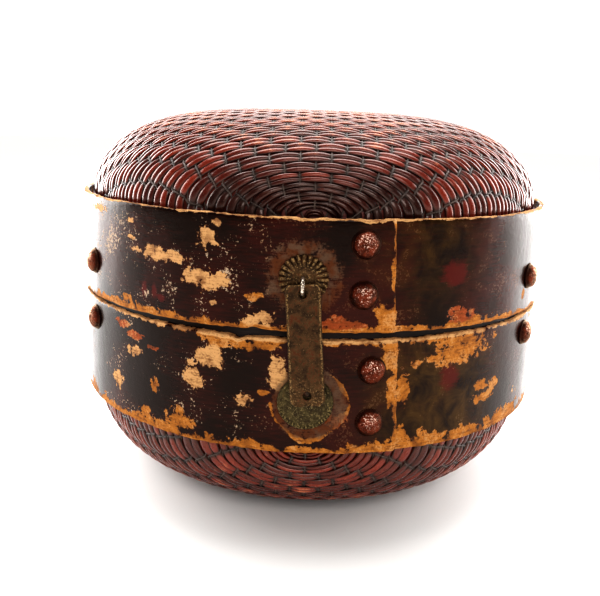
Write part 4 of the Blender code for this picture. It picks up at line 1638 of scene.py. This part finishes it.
    def dress(self, bronze: bpy.types.Material, green: bpy.types.Material, wire: bpy.types.Material
              ) -> list[bpy.types.Object]:
        """Build and finish every piece of the hasp.

        Args:
            bronze: the finish of the strap and rosette.
            green: the catch plate's finish.
            wire: the staple's finish.

        Returns:
            The pieces.
        """
        return [join_piece(self.rosette(), Body.LID, Slot.BRONZE, bronze, "rosette_plate"),
                join_piece(self.staple(), Body.LID, Slot.IRON, wire, "hasp_staple"),
                join_piece(self.strap(), Body.HASP, Slot.BRONZE, bronze, "hasp_strap"),
                join_piece(self.catch(), Body.BASE, Slot.BRONZE, green, "catch_plate")]


# ---------------------------------------------------------------- hinge


@dataclass
class RearHinge:
    """The butt hinge's leaves, pin and rivets, which keep their solids under a rusted finish."""

    plain: tuple[str, ...] = ("hinge_leaf_lid", "hinge_leaf_base", "hinge_pin", "catch_stub")
    rivets: tuple[str, ...] = ("hinge_rivet_lid_near", "hinge_rivet_lid_far", "hinge_rivet_base_near",
                               "hinge_rivet_base_far")

    def dress(self, iron: bpy.types.Material) -> list[bpy.types.Object]:
        """Give every hinge solid its rust.

        Args:
            iron: the finish.

        Returns:
            The hinge's CAD nodes.
        """
        nodes = [frame["nodes"][name] for name in (*self.plain, *self.rivets)]
        for node in nodes:
            for slot in node.material_slots:
                slot.material = iron
        return nodes


# ---------------------------------------------------------------- studio


@dataclass(frozen=True)
class SoftBox:
    """One rectangular light that faces the box: its place, its size in metres and its power in watts."""

    name: str
    place: tuple[float, float, float]
    size: tuple[float, float]
    power: float

    def hang(self) -> None:
        """Add the light to the scene."""
        light = bpy.data.lights.new(self.name, "AREA")
        light.shape = "RECTANGLE"
        light.size, light.size_y = self.size
        light.energy = self.power
        lamp = bpy.data.objects.new(self.name, light)
        lamp.location = Vector(self.place) * MM
        aim = Vector((0.0, 0.0, 0.16)) - lamp.location
        lamp.rotation_euler = aim.to_track_quat("-Z", "Y").to_euler()
        lamp.visible_camera = False
        bpy.context.scene.collection.objects.link(lamp)


SOFT_BOXES = (
    SoftBox("left_window", (-1500.0, 900.0, 650.0), (1.9, 1.3), 62.0),
    SoftBox("right_window", (1550.0, 850.0, 650.0), (1.9, 1.3), 46.0),
    SoftBox("left_low", (-640.0, 420.0, 150.0), (0.8, 0.34), 1.3),
    SoftBox("right_low", (660.0, 400.0, 150.0), (0.8, 0.34), 0.9),
    SoftBox("back_window", (0.0, 2400.0, 750.0), (3.6, 1.3), 30.0),
    SoftBox("ceiling", (0.0, 450.0, 1500.0), (1.6, 0.9), 16.0),
    SoftBox("front_fill", (300.0, -2100.0, 1300.0), (1.4, 0.9), 24.0),
)


@dataclass
class Studio:
    """The pale floor, the soft lights and the camera."""

    eye: Vector = field(default_factory=lambda: Vector((-3.5, -682.5, 298.3)))
    turn: float = 0.45
    pitch: float = -13.13
    roll: float = 1.96
    lens: float = 46.15
    room_light: float = 0.22
    wall_tone: float = 0.93
    skylight: float = 2.3
    sky_angle: float = 70.0
    sky_tilt: float = -25.0
    floor_radius: float = 9.0
    floor_drop: float = 0.0002

    def floor(self) -> None:
        """Lay a wide pale floor under the box."""
        take(next(iter(frame["nodes"].values())))
        bpy.ops.mesh.primitive_circle_add(vertices=96, radius=self.floor_radius, fill_type="NGON",
                                          location=(0.0, 0.0, -self.floor_drop))
        floor = bpy.context.object
        floor.name = "studio_floor"
        floor.data.materials.append(PaleFloor().material())

    def room(self) -> None:
        """Light the scene dimly from all round, and show the camera a white wall."""
        world = bpy.data.worlds.new("white_room")
        bpy.context.scene.world = world
        world.use_nodes = True
        tree = world.node_tree
        room = tree.nodes["Background"]
        room.inputs["Color"].default_value = (1.0, 0.985, 0.96, 1.0)
        room.inputs["Strength"].default_value = self.room_light
        wall = tree.nodes.new("ShaderNodeBackground")
        wall.inputs["Color"].default_value = (1.0, 1.0, 0.995, 1.0)
        wall.inputs["Strength"].default_value = self.wall_tone
        seen = tree.nodes.new("ShaderNodeLightPath")
        either = tree.nodes.new("ShaderNodeMixShader")
        tree.links.new(seen.outputs["Is Camera Ray"], either.inputs["Fac"])
        tree.links.new(room.outputs["Background"], either.inputs[1])
        tree.links.new(wall.outputs["Background"], either.inputs[2])
        tree.links.new(either.outputs["Shader"], tree.nodes["World Output"].inputs["Surface"])

    def lights(self) -> None:
        """Hang the soft boxes and a wide skylight."""
        for box in SOFT_BOXES:
            box.hang()
        sun = bpy.data.objects.new("skylight", bpy.data.lights.new("skylight", "SUN"))
        sun.data.energy = self.skylight
        sun.data.angle = math.radians(self.sky_angle)
        sun.rotation_euler = (math.radians(self.sky_tilt), 0.0, 0.0)
        bpy.context.scene.collection.objects.link(sun)

    def camera(self) -> None:
        """Set up the camera a little above the box, square to its hasp."""
        data = bpy.data.cameras.new("view")
        data.lens = self.lens
        data.sensor_width = 36.0
        camera = bpy.data.objects.new("view", data)
        turn = (Matrix.Rotation(math.radians(self.turn), 4, "Z")
                @ Matrix.Rotation(math.radians(90.0 + self.pitch), 4, "X")
                @ Matrix.Rotation(math.radians(self.roll), 4, "Z"))
        camera.matrix_world = Matrix.Translation(self.eye * MM) @ turn
        bpy.context.scene.collection.objects.link(camera)
        bpy.context.scene.camera = camera

    def build(self) -> None:
        """Set up the whole studio."""
        self.floor()
        self.room()
        self.lights()
        self.camera()
        bpy.context.scene.view_settings.view_transform = "Standard"
        bpy.context.scene.view_settings.look = "High Contrast"


def report(label: str, pieces: Sequence[bpy.types.Object]) -> None:
    """Log each piece with its number of points.

    Args:
        label: what the pieces are.
        pieces: the pieces.
    """
    for piece in pieces:
        LOG.info("%s: %s, %d points", label, piece.name, len(piece.data.vertices))


def main() -> None:
    """Build and dress every part of the box in order."""
    logging.basicConfig(level=logging.INFO, format="%(message)s")
    lacquer = WornLacquer().material()
    cane, warp, lining = GlossyCane().material(), WARP_CANE.material(), LINING.material()
    wood, copper, bronze = BARE_WOOD.material(), COPPER.material(), BRONZE.material()
    green, wire, iron = CATCH_BRONZE.material(), WIRE.material(), IRON.material()

    bands = [Band("lid_band", Body.LID, lap_end=16.2, marks=LID_MARKS, seed=11, mating_edge=3.2),
             Band("base_band", Body.BASE, lap_end=17.7, marks=BASE_MARKS, seed=31, mating_edge=0.4)]
    report("band", [band.dress(band.build(), lacquer) for band in bands])

    lid_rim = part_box("lid_band")[1].z / MM
    base_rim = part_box("base_band")[0].z / MM
    lid_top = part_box("lid_dome")[1].z / MM
    domes = [WovenDome("lid_dome", Body.LID, rim_height=lid_rim, direction=1.0, height=lid_top - lid_rim,
                       squareness=3.4, flat_radius=12.0, seed=3),
             WovenDome("base_dome", Body.BASE, rim_height=base_rim, direction=-1.0, height=base_rim,
                       squareness=4.2, flat_radius=60.0, seed=5, inset=2.3)]
    for dome in domes:
        report("dome", dome.dress(dome.build(), cane, warp, lining))

    collar, hoop = Hoop("base_collar", Body.BASE, wall=3.0), Hoop("lid_hoop", Body.LID, wall=3.4)
    report("hoop", [collar.dress(collar.build(), SHADED_COLLAR_WOOD.material()), hoop.dress(hoop.build(), wood)])
    for ring in (NailRing("lid", Body.LID), NailRing("base", Body.BASE)):
        report("nails", ring.dress(ring.build(), copper))
    report("hasp", Hasp().dress(bronze, green, wire))
    report("hinge", RearHinge().dress(iron))
    Studio().build()


if __name__ == "__main__":
    main()
